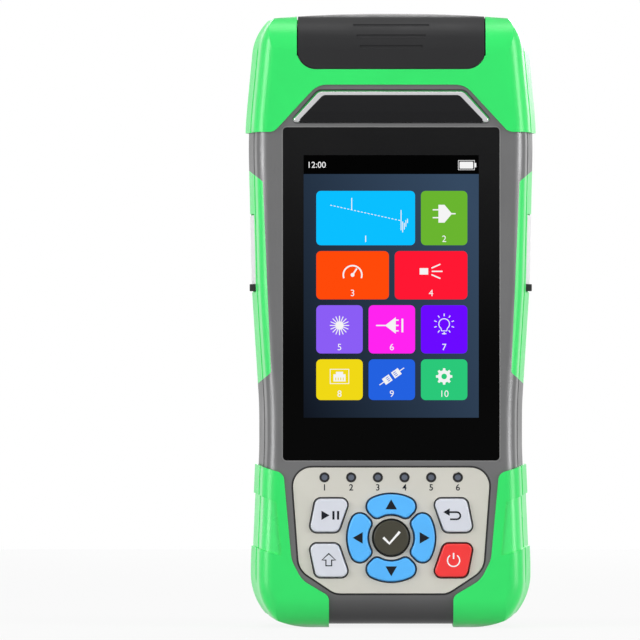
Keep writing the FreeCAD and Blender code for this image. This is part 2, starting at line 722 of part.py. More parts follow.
WALL_DEPTH = "rubber_sink + wall"
INNER_FRONT = f"-(front_face - ({WALL_DEPTH}))"
INNER_REAR = f"rear_face - ({WALL_DEPTH})"
SCREWS = [
    ("left_upper", "-upper_screw_half", "upper_screw_level"),
    ("right_upper", "upper_screw_half", "upper_screw_level"),
    ("left_lower", "-lower_screw_half", "lower_screw_level"),
    ("right_lower", "lower_screw_half", "lower_screw_level"),
]
STAND_FLOOR = "rear_face - stand_thick - stand_gap"
DOOR_FLOOR = "rear_face - door_thick"

top_seat = cut("top_seat", top_region, seat_form)
right_seats = cut("right_seats", fuse("right_regions", [right_lower_region, right_grip_region]),
                  seat_form)
left_seats = mirror("left_seats", right_seats)
shell_blank = shell_form
for seats in (top_seat, right_seats, left_seats):
    shell_blank = cut("shell_less_" + seats.Label, shell_blank, seats)
DOOR_SCREWS = [
    ("left_door", "-door_screw_half", "door_screw_level"),
    ("right_door", "door_screw_half", "door_screw_level"),
]
bosses = [add_rod(f"{name}_boss", "y", (across, f"-{far}", level), "boss_radius", f"2 * {far}")
          for name, across, level in SCREWS]
bosses += [add_rod(f"{name}_boss", "y", (across, f"{DOOR_FLOOR} - door_screw_bite - 1", level),
                   "door_boss_radius", far)
           for name, across, level in DOOR_SCREWS]
deck_block = add_box("deck_block", (f"-{far}", far), (f"-{far}", far),
                     ("deck_level - deck_wall", f"body_top + {far}"))
stand_block = add_box("stand_block",
                      ("-(stand_half + stand_gap + stand_pin_seat + stand_backing)",
                       "stand_half + stand_gap + stand_pin_seat + stand_backing"),
                      (f"{STAND_FLOOR} - stand_backing", far),
                      ("stand_bottom - finger_length - stand_gap - stand_backing",
                       "stand_top + stand_gap + stand_backing"))
hollow = cut("hollow", cavity_form, fuse("solid_places", [*bosses, deck_block, stand_block]))
front_half = add_box("front_half", (f"-{far}", far), (f"-{far}", "-parting"),
                     (f"-{far}", f"body_top + {far}"))

hollow_shell = cut("hollow_shell", cut("recessed_blank", shell_blank, cover_recess), hollow)
front_blank = common("front_blank", hollow_shell, front_half)
rear_blank = cut("rear_blank", hollow_shell, front_half)

# Front of the housing: outlines that the pieces and their seats share.


def panel_outline(grow):
    """Keypad panel, grown all round."""
    slope = "atan((panel_cheek_level - panel_bottom) / (panel_cheek_half - panel_chin_half))"
    return both_sides([
        (f"panel_chin_half + ({grow}) * tan({slope} / 2)", f"panel_bottom - ({grow})",
         f"panel_chin_corner + {grow}"),
        (f"panel_cheek_half + {grow}", f"panel_cheek_level - ({grow}) * tan((90 deg - {slope}) / 2)",
         f"panel_cheek_corner + {grow}"),
        (f"panel_half + {grow}", f"panel_top + {grow}", f"panel_top_corner + {grow}"),
    ])


def nameplate_outline(grow):
    return both_sides([
        (f"plate_half_bottom + {grow}", f"plate_bottom - {grow}", f"plate_bottom_corner + {grow}"),
        (f"plate_half_top + {grow}", f"plate_top + {grow}", f"plate_top_corner + {grow}"),
    ])


def rectangle(half, low, high, corner, grow="0"):
    """Rounded rectangle about the middle line, grown all round."""
    return both_sides([
        (f"{half} + {grow}", f"{low} - ({grow})", f"{corner} + {grow}"),
        (f"{half} + {grow}", f"{high} + {grow}", f"{corner} + {grow}"),
    ])


def front_tool(label, corners, back):
    """Cutting block from in front of the housing to Y = back."""
    body = add_body(label)
    sketch = front_sketch(body, f"-{far}")
    add_outline(sketch, corners)
    add_pad(body, sketch, f"{far} + {back}", backward=True)
    return body


def rear_tool(label, corners, front):
    """Cutting block from behind the housing to Y = front."""
    body = add_body(label)
    sketch = front_sketch(body, far)
    add_outline(sketch, corners)
    add_pad(body, sketch, f"{far} - ({front})")
    return body


LENS_BACK = "-front_face + lens_thick"
BOARD_FRONT = f"{LENS_BACK} + display_thick"
PANEL_FRONT = "-front_face + panel_drop"
PANEL_BACK = f"{PANEL_FRONT} + panel_thick"
THROUGH_FRONT = f"{INNER_FRONT} + wall / 2"
THROUGH_REAR = f"{INNER_REAR} - wall / 2"

front_tools = [
    front_tool("lens_seat", rectangle("lens_half", "lens_bottom", "lens_top", "lens_corner",
                                      "fit_gap"), LENS_BACK),
    front_tool("display_window", rectangle("display_half", "display_bottom", "display_top",
                                           "0", "fit_gap"), THROUGH_FRONT),
    front_tool("nameplate_seat", nameplate_outline("fit_gap"), "-front_face + plate_sink"),
    front_tool("panel_seat", panel_outline("fit_gap"), PANEL_BACK),
    front_tool("key_window", panel_outline("-panel_ledge"), THROUGH_FRONT),
]
front_tools += [
    add_rod(f"{name}_thread", "y", (across, "-parting - screw_bite", level), "screw_radius",
            "screw_bite + 1")
    for name, across, level in SCREWS
]
front_cut = cut("front_cut", front_blank, fuse("front_tools", front_tools))


# Keys. Each outline is drawn by a function of its growth, for the key, its flange and its hole.

def slanted_outline(side, end):
    """Slanted key; side is -1 on the left, end is -1 below the arrow keys and 1 above them."""
    def corners(grow):
        whole = [
            ("side_key_inner_near", "side_key_near", -1, -1),
            ("side_key_outer_near", "side_key_near", 1, -1),
            ("side_key_outer_far", "side_key_far", 1, 1),
            ("side_key_inner_far", "side_key_far", -1, 1),
        ]
        outline = [(f"{side} * ({across} + {out} * {grow})",
                    f"pad_level + {end} * ({up} + {rise} * {grow})", f"side_key_corner + {grow}")
                   for across, up, out, rise in whole]
        return outline if side * end > 0 else outline[::-1]

    def draw(sketch, grow):
        add_outline(sketch, corners(grow))
    return draw


def arrow_outline(middle):
    def draw(sketch, grow):
        add_arrow_outline(sketch, middle, grow)
    return draw


def centre_outline(sketch, grow):
    add_circle(sketch, "0", "pad_level", f"centre_key_radius + {grow}")


KEYS = {
    "key_centre": centre_outline,
    "key_up": arrow_outline(90),
    "key_left": arrow_outline(180),
    "key_down": arrow_outline(270),
    "key_right": arrow_outline(0),
    "key_run": slanted_outline(-1, 1),
    "key_back": slanted_outline(1, 1),
    "key_shift": slanted_outline(-1, -1),
    "key_power": slanted_outline(1, -1),
}
ARROWS = ("key_up", "key_left", "key_down", "key_right")


def arrow_corner(ring):
    """Test for the upright edges of the arrow keys' ring at a radius from the keypad's centre."""
    radius = number(ring)
    level = number("pad_level")

    def test(edge):
        box = edge.BoundBox
        upright = box.XLength < 0.001 and box.ZLength < 0.001
        return upright and abs(math.hypot(box.XMin, box.ZMin - level) - radius) < 0.01
    return test


def round_arrow_corners(body, grow):
    """Rounds the sharp corners that the arrow outlines leave."""
    for ring, corner in (("arrow_outer", "arrow_outer_corner"), ("arrow_inner", "arrow_inner_corner")):
        sign = "+" if ring == "arrow_outer" else "-"
        round_edges(body, body.Tip, arrow_corner(f"{ring} {sign} {grow}"), f"{corner} + {grow}")


KEY_FRONT = f"{PANEL_FRONT} - key_proud"
FLANGE_FRONT = f"{PANEL_BACK} + key_rest_gap"
FLANGE_BACK = f"{FLANGE_FRONT} + key_flange_thick"


def add_key(label, draw):
    """Key cap with the flange that keeps it behind the panel."""
    arrow = label in ARROWS
    cap = add_body(label + "_cap")
    face = front_sketch(cap, KEY_FRONT)
    draw(face, "0")
    pad = add_pad(cap, face, f"{FLANGE_BACK} - ({KEY_FRONT})", backward=True)
    if arrow:
        round_arrow_corners(cap, "0")
        pad = cap.Tip
    round_edges(cap, pad, lies_at(KEY_FRONT), "key_edge")
    flange = add_body(label + "_flange")
    rim = front_sketch(flange, FLANGE_FRONT)
    draw(rim, "key_flange")
    add_pad(flange, rim, "key_flange_thick", backward=True)
    if arrow:
        round_arrow_corners(flange, "key_flange")
    return fuse(label, [cap, flange])


keys = [add_key(label, draw) for label, draw in KEYS.items()]

keypad_panel = add_plate("keypad_panel", panel_outline("0"), PANEL_FRONT, "panel_thick")
key_holes = front_sketch(keypad_panel, PANEL_FRONT)
for draw in KEYS.values():
    draw(key_holes, "key_gap")
lamp_places = [f"({i} - (lamp_count - 1) / 2) * lamp_pitch" for i in range(int(number("lamp_count")))]
for across in lamp_places:
    add_circle(key_holes, across, "lamp_level", "lamp_collar")
add_pocket(keypad_panel, key_holes, "panel_thick")
round_arrow_corners(keypad_panel, "key_gap")

MAT_FRONT = f"{FLANGE_BACK} + key_travel + mat_gap"
MAT_BACK = f"{MAT_FRONT} + mat_thick"
key_mat = add_plate("key_mat", rectangle("mat_half", "mat_bottom", "mat_top", "mat_corner"),
                    MAT_FRONT, "mat_thick")

# Display, nameplate, status lamps and what lies on the main board.

display_lens = add_plate("display_lens",
                         rectangle("lens_half", "lens_bottom", "lens_top", "lens_corner"),
                         "-front_face", "lens_thick")
display_module = add_plate("display_module",
                           rectangle("display_half", "display_bottom", "display_top", "0"),
                           LENS_BACK, "display_thick")

nameplate = add_plate("nameplate", nameplate_outline("0"), "-front_face - plate_proud",
                      "plate_sink + plate_proud")
bevel_edges(nameplate, nameplate.Tip, lies_at("-front_face - plate_proud"), "plate_bevel")


def add_lamp(name, across):
    """Light pipe: a pin up to the panel's face on a wider collar behind the panel."""
    face = f"{PANEL_FRONT} + lamp_drop"
    pin = add_rod(name + "_pin", "y", (across, face, "lamp_level"), "lamp_radius",
                  f"{BOARD_FRONT} - ({face})")
    collar = add_rod(name + "_collar", "y", (across, FLANGE_FRONT, "lamp_level"),
                     "lamp_collar + key_gap", f"{BOARD_FRONT} - ({FLANGE_FRONT})")
    return fuse(name, [pin, collar])


status_lamps = group("status_lamps",
                     [add_lamp(f"lamp_{i}", across) for i, across in enumerate(lamp_places, start=1)])

SIDE_KEY_MIDDLE = ("(side_key_inner_far + side_key_inner_near"
                   " + side_key_outer_far + side_key_outer_near) / 4")
SIDE_KEY_RISE = "(side_key_far + side_key_near) / 2"
ARROW_MIDDLE = "(arrow_outer + arrow_inner) / 2"
key_places = [("0", "pad_level")]
key_places += [(across, f"pad_level + {rise}") for across, rise in (
    (f"-({ARROW_MIDDLE})", "0"), (ARROW_MIDDLE, "0"), ("0", f"-({ARROW_MIDDLE})"), ("0", ARROW_MIDDLE))]
key_places += [(f"{side} * {SIDE_KEY_MIDDLE}", f"pad_level + {end} * {SIDE_KEY_RISE}")
               for side in (-1, 1) for end in (-1, 1)]
dome_switches = group("dome_switches", [
    add_rod(f"dome_{i}", "y", (across, MAT_BACK, level), "dome_radius",
            f"{BOARD_FRONT} - ({MAT_BACK})")
    for i, (across, level) in enumerate(key_places, start=1)
])

BOARD_BACK = f"{BOARD_FRONT} + board_thick"
board_plate = add_plate("board_plate", rectangle("board_half", "board_bottom", "board_top", "0"),
                        BOARD_FRONT, "board_thick")
board_notches = group("board_notches", [
    add_rod(f"{name}_notch", "y", (across, f"-{far}", level), "boss_radius + fit_gap", f"2 * {far}")
    for name, across, level in SCREWS
])
main_board = cut("main_board", board_plate, board_notches)

optical_engine = add_box("optical_engine", ("-engine_half", "engine_half"),
                         (BOARD_BACK, f"{BOARD_BACK} + engine_deep"), ("engine_bottom", "engine_top"))

battery_pack = add_body("battery_pack")
cell_section = sketch_on(battery_pack, "XY_Plane", "cell_bottom")
add_outline(cell_section, [
    ("-2 * cell_radius", "cell_behind - cell_radius", "cell_radius * 0.999"),
    ("2 * cell_radius", "cell_behind - cell_radius", "cell_radius * 0.999"),
    ("2 * cell_radius", "cell_behind + cell_radius", "cell_radius * 0.999"),
    ("-2 * cell_radius", "cell_behind + cell_radius", "cell_radius * 0.999"),
])
add_pad(battery_pack, cell_section, "cell_length")

# Port deck: three optical ports and the torch.

PORT_TAIL_END = "engine_top + fit_gap"
PORTS = [("trace_port", "-port_pitch"), ("fault_light_port", "0"), ("power_meter_port", "port_pitch")]


def add_port(label, across):
    """Adaptor: square flange on the deck, barrel with the ferrule bore, tail through the deck."""
    flange = add_box(label + "_flange", (f"{across} - port_flange", f"{across} + port_flange"),
                     ("-port_forward - port_flange", "-port_forward + port_flange"),
                     ("deck_level", "deck_level + port_flange_thick"))
    barrel = add_rod(label + "_barrel", "z", (across, "-port_forward", "deck_level"),
                     "port_radius", "port_length")
    tail = add_rod(label + "_tail", "z", (across, "-port_forward", PORT_TAIL_END),
                   "port_tail_radius", f"deck_level - ({PORT_TAIL_END})")
    bore = add_rod(label + "_bore", "z",
                   (across, "-port_forward", "deck_level + port_length - port_bore_depth"),
                   "port_bore", "port_bore_depth + 1")
    return cut(label, fuse(label + "_solid", [flange, barrel, tail]), bore)


ports = [add_port(label, across) for label, across in PORTS]
torch_lens = add_rod("torch_lens", "z", ("torch_half", "-torch_forward", "deck_level - deck_wall"),
                     "torch_radius", "deck_wall + torch_proud")
deck_holes = [
    add_rod(f"{label}_hole", "z", (across, "-port_forward", "deck_level - deck_wall - 1"),
            "port_tail_radius + running_gap", "deck_wall + 2")
    for label, across in PORTS
]
torch_hole = add_rod("torch_hole", "z",
                     ("torch_half", "-torch_forward", "deck_level - deck_wall - 1"),
                     "torch_radius + running_gap", "deck_wall + 2")
front_shell = cut("front_shell", front_cut, torch_hole)

# Port cover on its hinge pin.

HINGE = ("hinge_behind", "hinge_level")
cover_solid = common("cover_solid", skin_form, cover_block("cover_form", "0", "hinge_behind"))
knuckle_bar = add_rod("knuckle_bar", "x", ("-cover_half", *HINGE), KNUCKLE, "2 * cover_half")
knuckle = common("cover_knuckle", knuckle_bar, crown)
cover_hollow = add_body("cover_hollow")
hollow_profile = sketch_on(cover_hollow, "YZ_Plane", "-(cover_half - cover_wall)")
CEILING = f"{COVER_TOP} - cover_wall"
add_outline(hollow_profile, [
    (SKIRT_BACK, "cover_bottom - cover_wall", "0"),
    (far, "cover_bottom - cover_wall", "0"),
    (far, f"hinge_level - ({KNUCKLE})", "0"),
    (f"hinge_behind - ({KNUCKLE})", f"hinge_level - ({KNUCKLE})", "0"),
    (f"hinge_behind - ({KNUCKLE})", CEILING, "0"),
    (SKIRT_BACK, CEILING, "front_top_round + bumper_proud - cover_wall"),
])
add_pad(cover_hollow, hollow_profile, "2 * (cover_half - cover_wall)")
hinge_bore = add_rod("hinge_bore", "x", (f"-{far}", *HINGE), "hinge_pin_radius + running_gap",
                     f"2 * {far}")


def add_groove(i):
    """Grip groove that follows the rounded front edge of the cover."""
    level = f"groove_level - {i} * groove_pitch"
    rise = f"({level} - (body_top - front_top_round))"
    away = "(front_top_round + bumper_proud + groove_radius - groove_depth)"
    forward = f"front_face - front_top_round + sqrt({away} ^ 2 - {rise} ^ 2)"
    half = f"groove_half - {i} * groove_step"
    return add_rod(f"cover_groove_{i}", "x", (f"-({half})", f"-({forward})", level),
                   "groove_radius", f"2 * ({half})")


grooves = [add_groove(i) for i in range(int(number("groove_count")))]
cover_shell = cut("cover_shell", fuse("cover_blank", [cover_solid, knuckle]), cover_hollow)
port_cover = cut("port_cover", cover_shell, fuse("cover_cuts", [hinge_bore, *grooves]))
PIN_HALF = "cover_half + cover_gap + hinge_pin_seat"
hinge_pin = add_rod("hinge_pin", "x", (f"-({PIN_HALF})", *HINGE), "hinge_pin_radius",
                    f"2 * ({PIN_HALF})")

# Side sockets behind rubber flaps.

FLAP_BACK = "middle_half - flap_thick"
SOCKET_FACE = f"{FLAP_BACK} - flap_gap"
FLAP_AXIS_LEVEL = "flap_top - flap_bead"
flap_block = add_box("flap_block", (FLAP_BACK, far), ("-flap_half", "flap_half"),
                     ("flap_bottom", FLAP_AXIS_LEVEL))
flap_bead = add_rod("flap_bead", "y", ("flap_hinge_half", "-flap_half", FLAP_AXIS_LEVEL),
                    "flap_bead", "2 * flap_half")
right_flap = common("right_flap", shell_form, fuse("flap_blank", [flap_block, flap_bead]))
left_flap = mirror("left_flap", right_flap)
right_pull_tab = add_box("right_pull_tab", (FLAP_BACK, "middle_half + tab_proud"),
                         ("-tab_half", "tab_half"), ("flap_bottom - tab_length", "flap_bottom"))
left_pull_tab = mirror("left_pull_tab", right_pull_tab)

network_jack_block = add_box("network_jack_block", (f"{SOCKET_FACE} - jack_deep", SOCKET_FACE),
                             ("-jack_breadth / 2", "jack_breadth / 2"),
                             ("jack_level - jack_half", "jack_level + jack_half"))
network_jack_mouth = add_box("network_jack_mouth", (f"{SOCKET_FACE} - jack_mouth_deep", far),
                             ("-jack_mouth_breadth / 2", "jack_mouth_breadth / 2"),
                             ("jack_level - jack_mouth_half", "jack_level + jack_mouth_half"))
network_jack = cut("network_jack", network_jack_block, network_jack_mouth)
CHARGE_OUTER = "(charge_breadth / 2 + charge_wall)"
charge_block = add_box("charge_block", (f"-({SOCKET_FACE})", f"charge_deep - ({SOCKET_FACE})"),
                       (f"-{CHARGE_OUTER}", CHARGE_OUTER),
                       ("jack_level - charge_half - charge_wall", "jack_level + charge_half + charge_wall"))
charge_mouth = add_box("charge_mouth", (f"-{far}", f"charge_deep - charge_wall - ({SOCKET_FACE})"),
                       ("-charge_breadth / 2", "charge_breadth / 2"),
                       ("jack_level - charge_half", "jack_level + charge_half"))
charging_socket = cut("charging_socket", charge_block, charge_mouth)

flap_seats = fuse("flap_seats", [
    add_box("right_flap_seat", (SOCKET_FACE, far), ("-(flap_half + flap_gap)", "flap_half + flap_gap"),
            (FLAP_WINDOW_BOTTOM, FLAP_WINDOW_TOP)),
    add_box("left_flap_seat", (f"-{far}", f"-({SOCKET_FACE})"),
            ("-(flap_half + flap_gap)", "flap_half + flap_gap"), (FLAP_WINDOW_BOTTOM, FLAP_WINDOW_TOP)),
    add_box("jack_window", (f"{SOCKET_FACE} - jack_deep", SOCKET_FACE),
            ("-jack_breadth / 2 - running_gap", "jack_breadth / 2 + running_gap"),
            ("jack_level - jack_half - running_gap", "jack_level + jack_half + running_gap")),
    add_box("charge_window", (f"-({SOCKET_FACE})", f"charge_deep - ({SOCKET_FACE})"),
            (f"-{CHARGE_OUTER} - running_gap", f"{CHARGE_OUTER} + running_gap"),
            ("jack_level - charge_half - charge_wall - running_gap",
             "jack_level + charge_half + charge_wall + running_gap")),
])

# Rear: battery door, stand, screws and the rear shell with their seats.

door_outline = rectangle("door_half", "door_bottom", "door_top", "door_corner")
battery_door_plate = add_plate("battery_door_plate", door_outline, DOOR_FLOOR, "door_thick")

STAND_AXIS = ("rear_face - stand_thick / 2", "stand_top - stand_thick / 2")
STAND_FRONT = "rear_face - stand_thick"
stand_plate = add_plate("stand_plate", both_sides([
    ("stand_half", "stand_bottom", "stand_corner"),
    ("stand_half", "stand_top - stand_thick / 2", "0"),
]), STAND_FRONT, "stand_thick")
stand_knuckle = add_rod("stand_knuckle", "x", ("-stand_half", *STAND_AXIS), "stand_thick / 2",
                        "2 * stand_half")
stand_bore = add_rod("stand_bore", "x", (f"-{far}", *STAND_AXIS), "stand_pin_radius + running_gap",
                     f"2 * {far}")
stand = cut("stand", fuse("stand_solid", [stand_plate, stand_knuckle]), stand_bore)
STAND_PIN_HALF = "stand_half + stand_gap + stand_pin_seat"
stand_pin = add_rod("stand_pin", "x", (f"-({STAND_PIN_HALF})", *STAND_AXIS), "stand_pin_radius",
                    f"2 * ({STAND_PIN_HALF})")

HEAD_SEAT = "rear_face - screw_sink"
DOOR_HEAD_SEAT = "rear_face - screw_head_thick"


def add_screw(name, across, level, tip, seat):
    """Screw with a plain cylindrical head; the thread is left as its outer diameter."""
    shank = add_rod(name + "_shank", "y", (across, tip, level), "screw_radius", f"{seat} - ({tip})")
    head = add_rod(name + "_head", "y", (across, seat, level), "screw_head_radius",
                   "screw_head_thick")
    return fuse(name + "_screw", [shank, head])


def screw_hole(name, across, level, seat):
    """Slack hole for the shank and a counterbore for the head."""
    shank = add_rod(name + "_shank_hole", "y", (across, "-parting - 1", level),
                    "screw_radius + screw_slack", f"{seat} + parting + 1")
    head = add_rod(name + "_head_hole", "y", (across, seat, level), "screw_head_radius + screw_slack",
                   far)
    return fuse(name + "_hole", [shank, head])


case_screws = group("case_screws", [
    add_screw(name, across, level, "-parting - screw_bite", HEAD_SEAT)
    for name, across, level in SCREWS
])
DOOR_SCREW_TIP = f"{DOOR_FLOOR} - door_screw_bite"
door_screws = group("door_screws", [
    add_screw(name, across, level, DOOR_SCREW_TIP, DOOR_HEAD_SEAT)
    for name, across, level in DOOR_SCREWS
])
battery_door = cut("battery_door", battery_door_plate, fuse("door_holes", [
    screw_hole(name, across, level, DOOR_HEAD_SEAT) for name, across, level in DOOR_SCREWS
]))

rear_tools = [
    rear_tool("door_seat", rectangle("door_half", "door_bottom", "door_top", "door_corner", "fit_gap"),
              DOOR_FLOOR),
    rear_tool("battery_window", rectangle("door_half - door_ledge", "door_bottom + door_ledge",
                                          "cell_bottom + cell_length + door_ledge / 2", "0"),
              THROUGH_REAR),
    rear_tool("stand_seat", rectangle("stand_half", "stand_bottom", "stand_top", "0", "stand_gap"),
              STAND_FLOOR),
    rear_tool("finger_notch", rectangle("finger_half", "stand_bottom - finger_length",
                                        "stand_bottom + finger_length", "finger_length / 2"),
              STAND_FLOOR),
    add_rod("stand_pin_hole", "x", (f"-({STAND_PIN_HALF})", *STAND_AXIS), "stand_pin_radius",
            f"2 * ({STAND_PIN_HALF})"),
]
rear_tools += [screw_hole(name, across, level, HEAD_SEAT) for name, across, level in SCREWS]
rear_tools += [
    add_rod(f"{name}_thread", "y", (across, DOOR_SCREW_TIP, level), "screw_radius",
            "door_screw_bite + 1")
    for name, across, level in DOOR_SCREWS
]
pin_hole = add_rod("hinge_pin_hole", "x", (f"-({PIN_HALF})", *HINGE), "hinge_pin_radius",
                   f"2 * ({PIN_HALF})")
rear_tools += [pin_hole, *deck_holes]
rear_cut = cut("rear_cut", rear_blank, fuse("rear_tools", rear_tools))
rear_shell = cut("rear_shell", rear_cut, flap_seats)

# Each sub-part's solid is checked and written under its own label.

NODES = [
    front_shell, rear_shell, top_bumper, left_lower_bumper, right_lower_bumper, left_side_grip,
    right_side_grip, nameplate, display_lens, display_module, keypad_panel, status_lamps, key_mat,
    dome_switches, *keys, main_board, optical_engine, battery_pack, *ports, torch_lens, port_cover,
    hinge_pin, right_flap, left_flap, right_pull_tab, left_pull_tab, network_jack, charging_socket,
    battery_door, door_screws, stand, stand_pin, case_screws,
]

doc.recompute()
for item in doc.Objects:
    if "Invalid" in item.State or "Error" in item.State:
        raise RuntimeError(f"{item.Label} failed: {item.State}")
for node in NODES:
    if node.Shape.isNull() or not node.Shape.isValid() or not node.Shape.Solids:
        raise RuntimeError(f"{node.Label} has no valid solid")
os.makedirs("parts", exist_ok=True)
for node in NODES:
    node.Shape.exportStep(f"parts/{node.Label}.step")
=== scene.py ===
import json
import math

import bpy
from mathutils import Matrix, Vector


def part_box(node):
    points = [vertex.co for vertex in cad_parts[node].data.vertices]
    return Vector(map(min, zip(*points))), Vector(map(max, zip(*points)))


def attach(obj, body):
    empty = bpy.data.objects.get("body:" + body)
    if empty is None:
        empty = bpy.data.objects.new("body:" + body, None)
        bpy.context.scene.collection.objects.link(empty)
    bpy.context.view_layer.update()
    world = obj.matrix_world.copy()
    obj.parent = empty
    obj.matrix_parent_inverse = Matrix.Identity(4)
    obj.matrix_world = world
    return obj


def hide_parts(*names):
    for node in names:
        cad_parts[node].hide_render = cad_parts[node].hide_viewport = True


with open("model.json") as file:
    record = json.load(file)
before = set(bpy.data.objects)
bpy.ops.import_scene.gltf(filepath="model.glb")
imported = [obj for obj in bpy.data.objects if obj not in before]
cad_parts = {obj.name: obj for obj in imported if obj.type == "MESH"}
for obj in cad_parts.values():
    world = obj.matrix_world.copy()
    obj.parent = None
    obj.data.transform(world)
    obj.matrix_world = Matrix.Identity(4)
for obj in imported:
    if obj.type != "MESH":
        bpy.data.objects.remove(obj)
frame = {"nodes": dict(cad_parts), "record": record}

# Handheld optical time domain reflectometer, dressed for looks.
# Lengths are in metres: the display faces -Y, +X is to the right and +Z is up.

MM = 0.001
UPRIGHT = math.pi / 2
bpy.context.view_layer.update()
BODY_OF = {node: body
           for body, nodes in frame["record"]["behaviour"]["bodies"].items() for node in nodes}
LENS_LOW, LENS_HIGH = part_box("display_lens")
PANEL_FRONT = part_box("keypad_panel")[0].y
BADGE_LOW, BADGE_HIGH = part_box("nameplate")
KEY_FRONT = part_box("key_centre")[0].y


# Camera, light and stage.

SENSOR_WIDE = 36
FRAME_WIDE = 180.2 * MM
FRAME_MIDDLE = (-19.9 * MM, 86.1 * MM)
CAMERA_AWAY = 3.0
LAMPS_AIM = (0, 0, 0.09)
FLOOR_GRAY = (0.6, 0.6, 0.6, 1)
FLOOR_WHITE = 0.88
WHITE = (1, 1, 1, 1)


def add_node(tree, kind, **values):
    """Shader node with constants on its inputs, where _ in a name stands for a space."""
    made = tree.nodes.new(kind)
    for name, value in values.items():
        made.inputs[name.replace("_", " ")].default_value = value
    return made


def place_camera():
    """Long lens at the height of the tester's middle, square to its display."""
    across, up = FRAME_MIDDLE
    bpy.ops.object.camera_add(location=(across, -CAMERA_AWAY, up), rotation=(UPRIGHT, 0, 0))
    camera = bpy.context.object
    camera.data.sensor_width = SENSOR_WIDE
    camera.data.lens = SENSOR_WIDE * CAMERA_AWAY / FRAME_WIDE
    bpy.context.scene.camera = camera


def softbox(name, place, wide, tall, power):
    """Rectangular lamp at a place, turned to the tester's middle."""
    bpy.ops.object.light_add(type="AREA", location=place)
    lamp = bpy.context.object
    lamp.name = name
    lamp.data.shape = "RECTANGLE"
    lamp.data.size = wide
    lamp.data.size_y = tall
    lamp.data.energy = power
    track = (Vector(LAMPS_AIM) - lamp.location).to_track_quat("-Z", "Y")
    lamp.rotation_euler = track.to_euler()


def shown_ray(tree):
    """1 for rays from the camera and for those that gloss or glass sends on, 0 for the rest."""
    path = tree.nodes.new("ShaderNodeLightPath")
    shown = path.outputs["Is Camera Ray"]
    for other in ("Is Glossy Ray", "Is Transmission Ray"):
        either = tree.nodes.new("ShaderNodeMath")
        either.operation = "MAXIMUM"
        tree.links.new(shown, either.inputs[0])
        tree.links.new(path.outputs[other], either.inputs[1])
        shown = either.outputs[0]
    return shown


def blend_shaders(tree, share, first, second, end):
    """Mixes two shaders by a share and links them to an end node's surface."""
    mix = tree.nodes.new("ShaderNodeMixShader")
    tree.links.new(share, mix.inputs["Fac"])
    tree.links.new(first.outputs[0], mix.inputs[1])
    tree.links.new(second.outputs[0], mix.inputs[2])
    tree.links.new(mix.outputs[0], tree.nodes[end].inputs["Surface"])


def light_world():
    """White where it is seen, and a plain soft light elsewhere."""
    world = bpy.data.worlds.new("studio")
    bpy.context.scene.world = world
    world.use_nodes = True
    tree = world.node_tree
    soft = tree.nodes["Background"]
    soft.inputs["Color"].default_value = WHITE
    soft.inputs["Strength"].default_value = 0.25
    white = add_node(tree, "ShaderNodeBackground", Color=WHITE, Strength=1.0)
    blend_shaders(tree, shown_ray(tree), soft, white, "World Output")


def lay_floor():
    """Plain pale floor that keeps the tester's shadow."""
    bpy.ops.mesh.primitive_plane_add(size=2, location=(0, 0, 0))
    floor = bpy.context.object
    floor.name = "floor"
    material = bpy.data.materials.new("pale_floor")
    material.use_nodes = True
    tree = material.node_tree
    shader = tree.nodes["Principled BSDF"]
    shader.inputs["Base Color"].default_value = FLOOR_GRAY
    shader.inputs["Roughness"].default_value = 0.9
    shader.inputs["Specular IOR Level"].default_value = 0.1
    white = add_node(tree, "ShaderNodeEmission", Strength=1.0)
    share = tree.nodes.new("ShaderNodeMath")
    share.operation = "MULTIPLY"
    share.inputs[1].default_value = FLOOR_WHITE
    tree.links.new(shown_ray(tree), share.inputs[0])
    blend_shaders(tree, share.outputs[0], shader, white, "Material Output")
    floor.data.materials.append(material)


bpy.context.scene.view_settings.view_transform = "Standard"
place_camera()
light_world()
lay_floor()
softbox("key_lamp", (-0.5, -1.1, 0.75), 0.7, 0.7, 0.9)
softbox("left_strip", (-0.84, -0.45, 0.15), 0.4, 1.0, 9.5)
softbox("right_strip", (0.84, -0.45, 0.15), 0.4, 1.0, 9.5)
softbox("top_lamp", (0, -0.15, 1.0), 0.6, 0.4, 2.6)
softbox("back_lamp", (0.2, 1.1, 0.5), 0.8, 0.6, 6.0)


# Materials.

FINE_GRAIN = 0.006 * MM
UNLIT = (0.0005, 0.0005, 0.0005)


def plain(name, colour, roughness, metallic=0.0, specular=0.5, coat=0.0, coat_roughness=0.08):
    """Material with its fixed values on the shader's own sockets."""
    material = bpy.data.materials.new(name)
    material.use_nodes = True
    shader = material.node_tree.nodes["Principled BSDF"]
    shader.inputs["Base Color"].default_value = (*colour, 1)
    shader.inputs["Roughness"].default_value = roughness
    shader.inputs["Metallic"].default_value = metallic
    shader.inputs["Specular IOR Level"].default_value = specular
    shader.inputs["Coat Weight"].default_value = coat
    shader.inputs["Coat Roughness"].default_value = coat_roughness
    return material


def own_place(tree):
    """A point's place in the piece's own coordinates."""
    return tree.nodes.new("ShaderNodeTexCoord").outputs["Object"]


def noise(tree, scale, detail=3.0):
    """Noise on the piece's own coordinates."""
    made = add_node(tree, "ShaderNodeTexNoise", Scale=scale, Detail=detail)
    tree.links.new(own_place(tree), made.inputs["Vector"])
    return made.outputs["Fac"]


def spread(tree, source, low, high):
    """Noise stretched to run from low to high."""
    span = add_node(tree, "ShaderNodeMapRange", From_Min=0.3, From_Max=0.7, To_Min=low, To_Max=high)
    tree.links.new(source, span.inputs["Value"])
    return span.outputs["Result"]


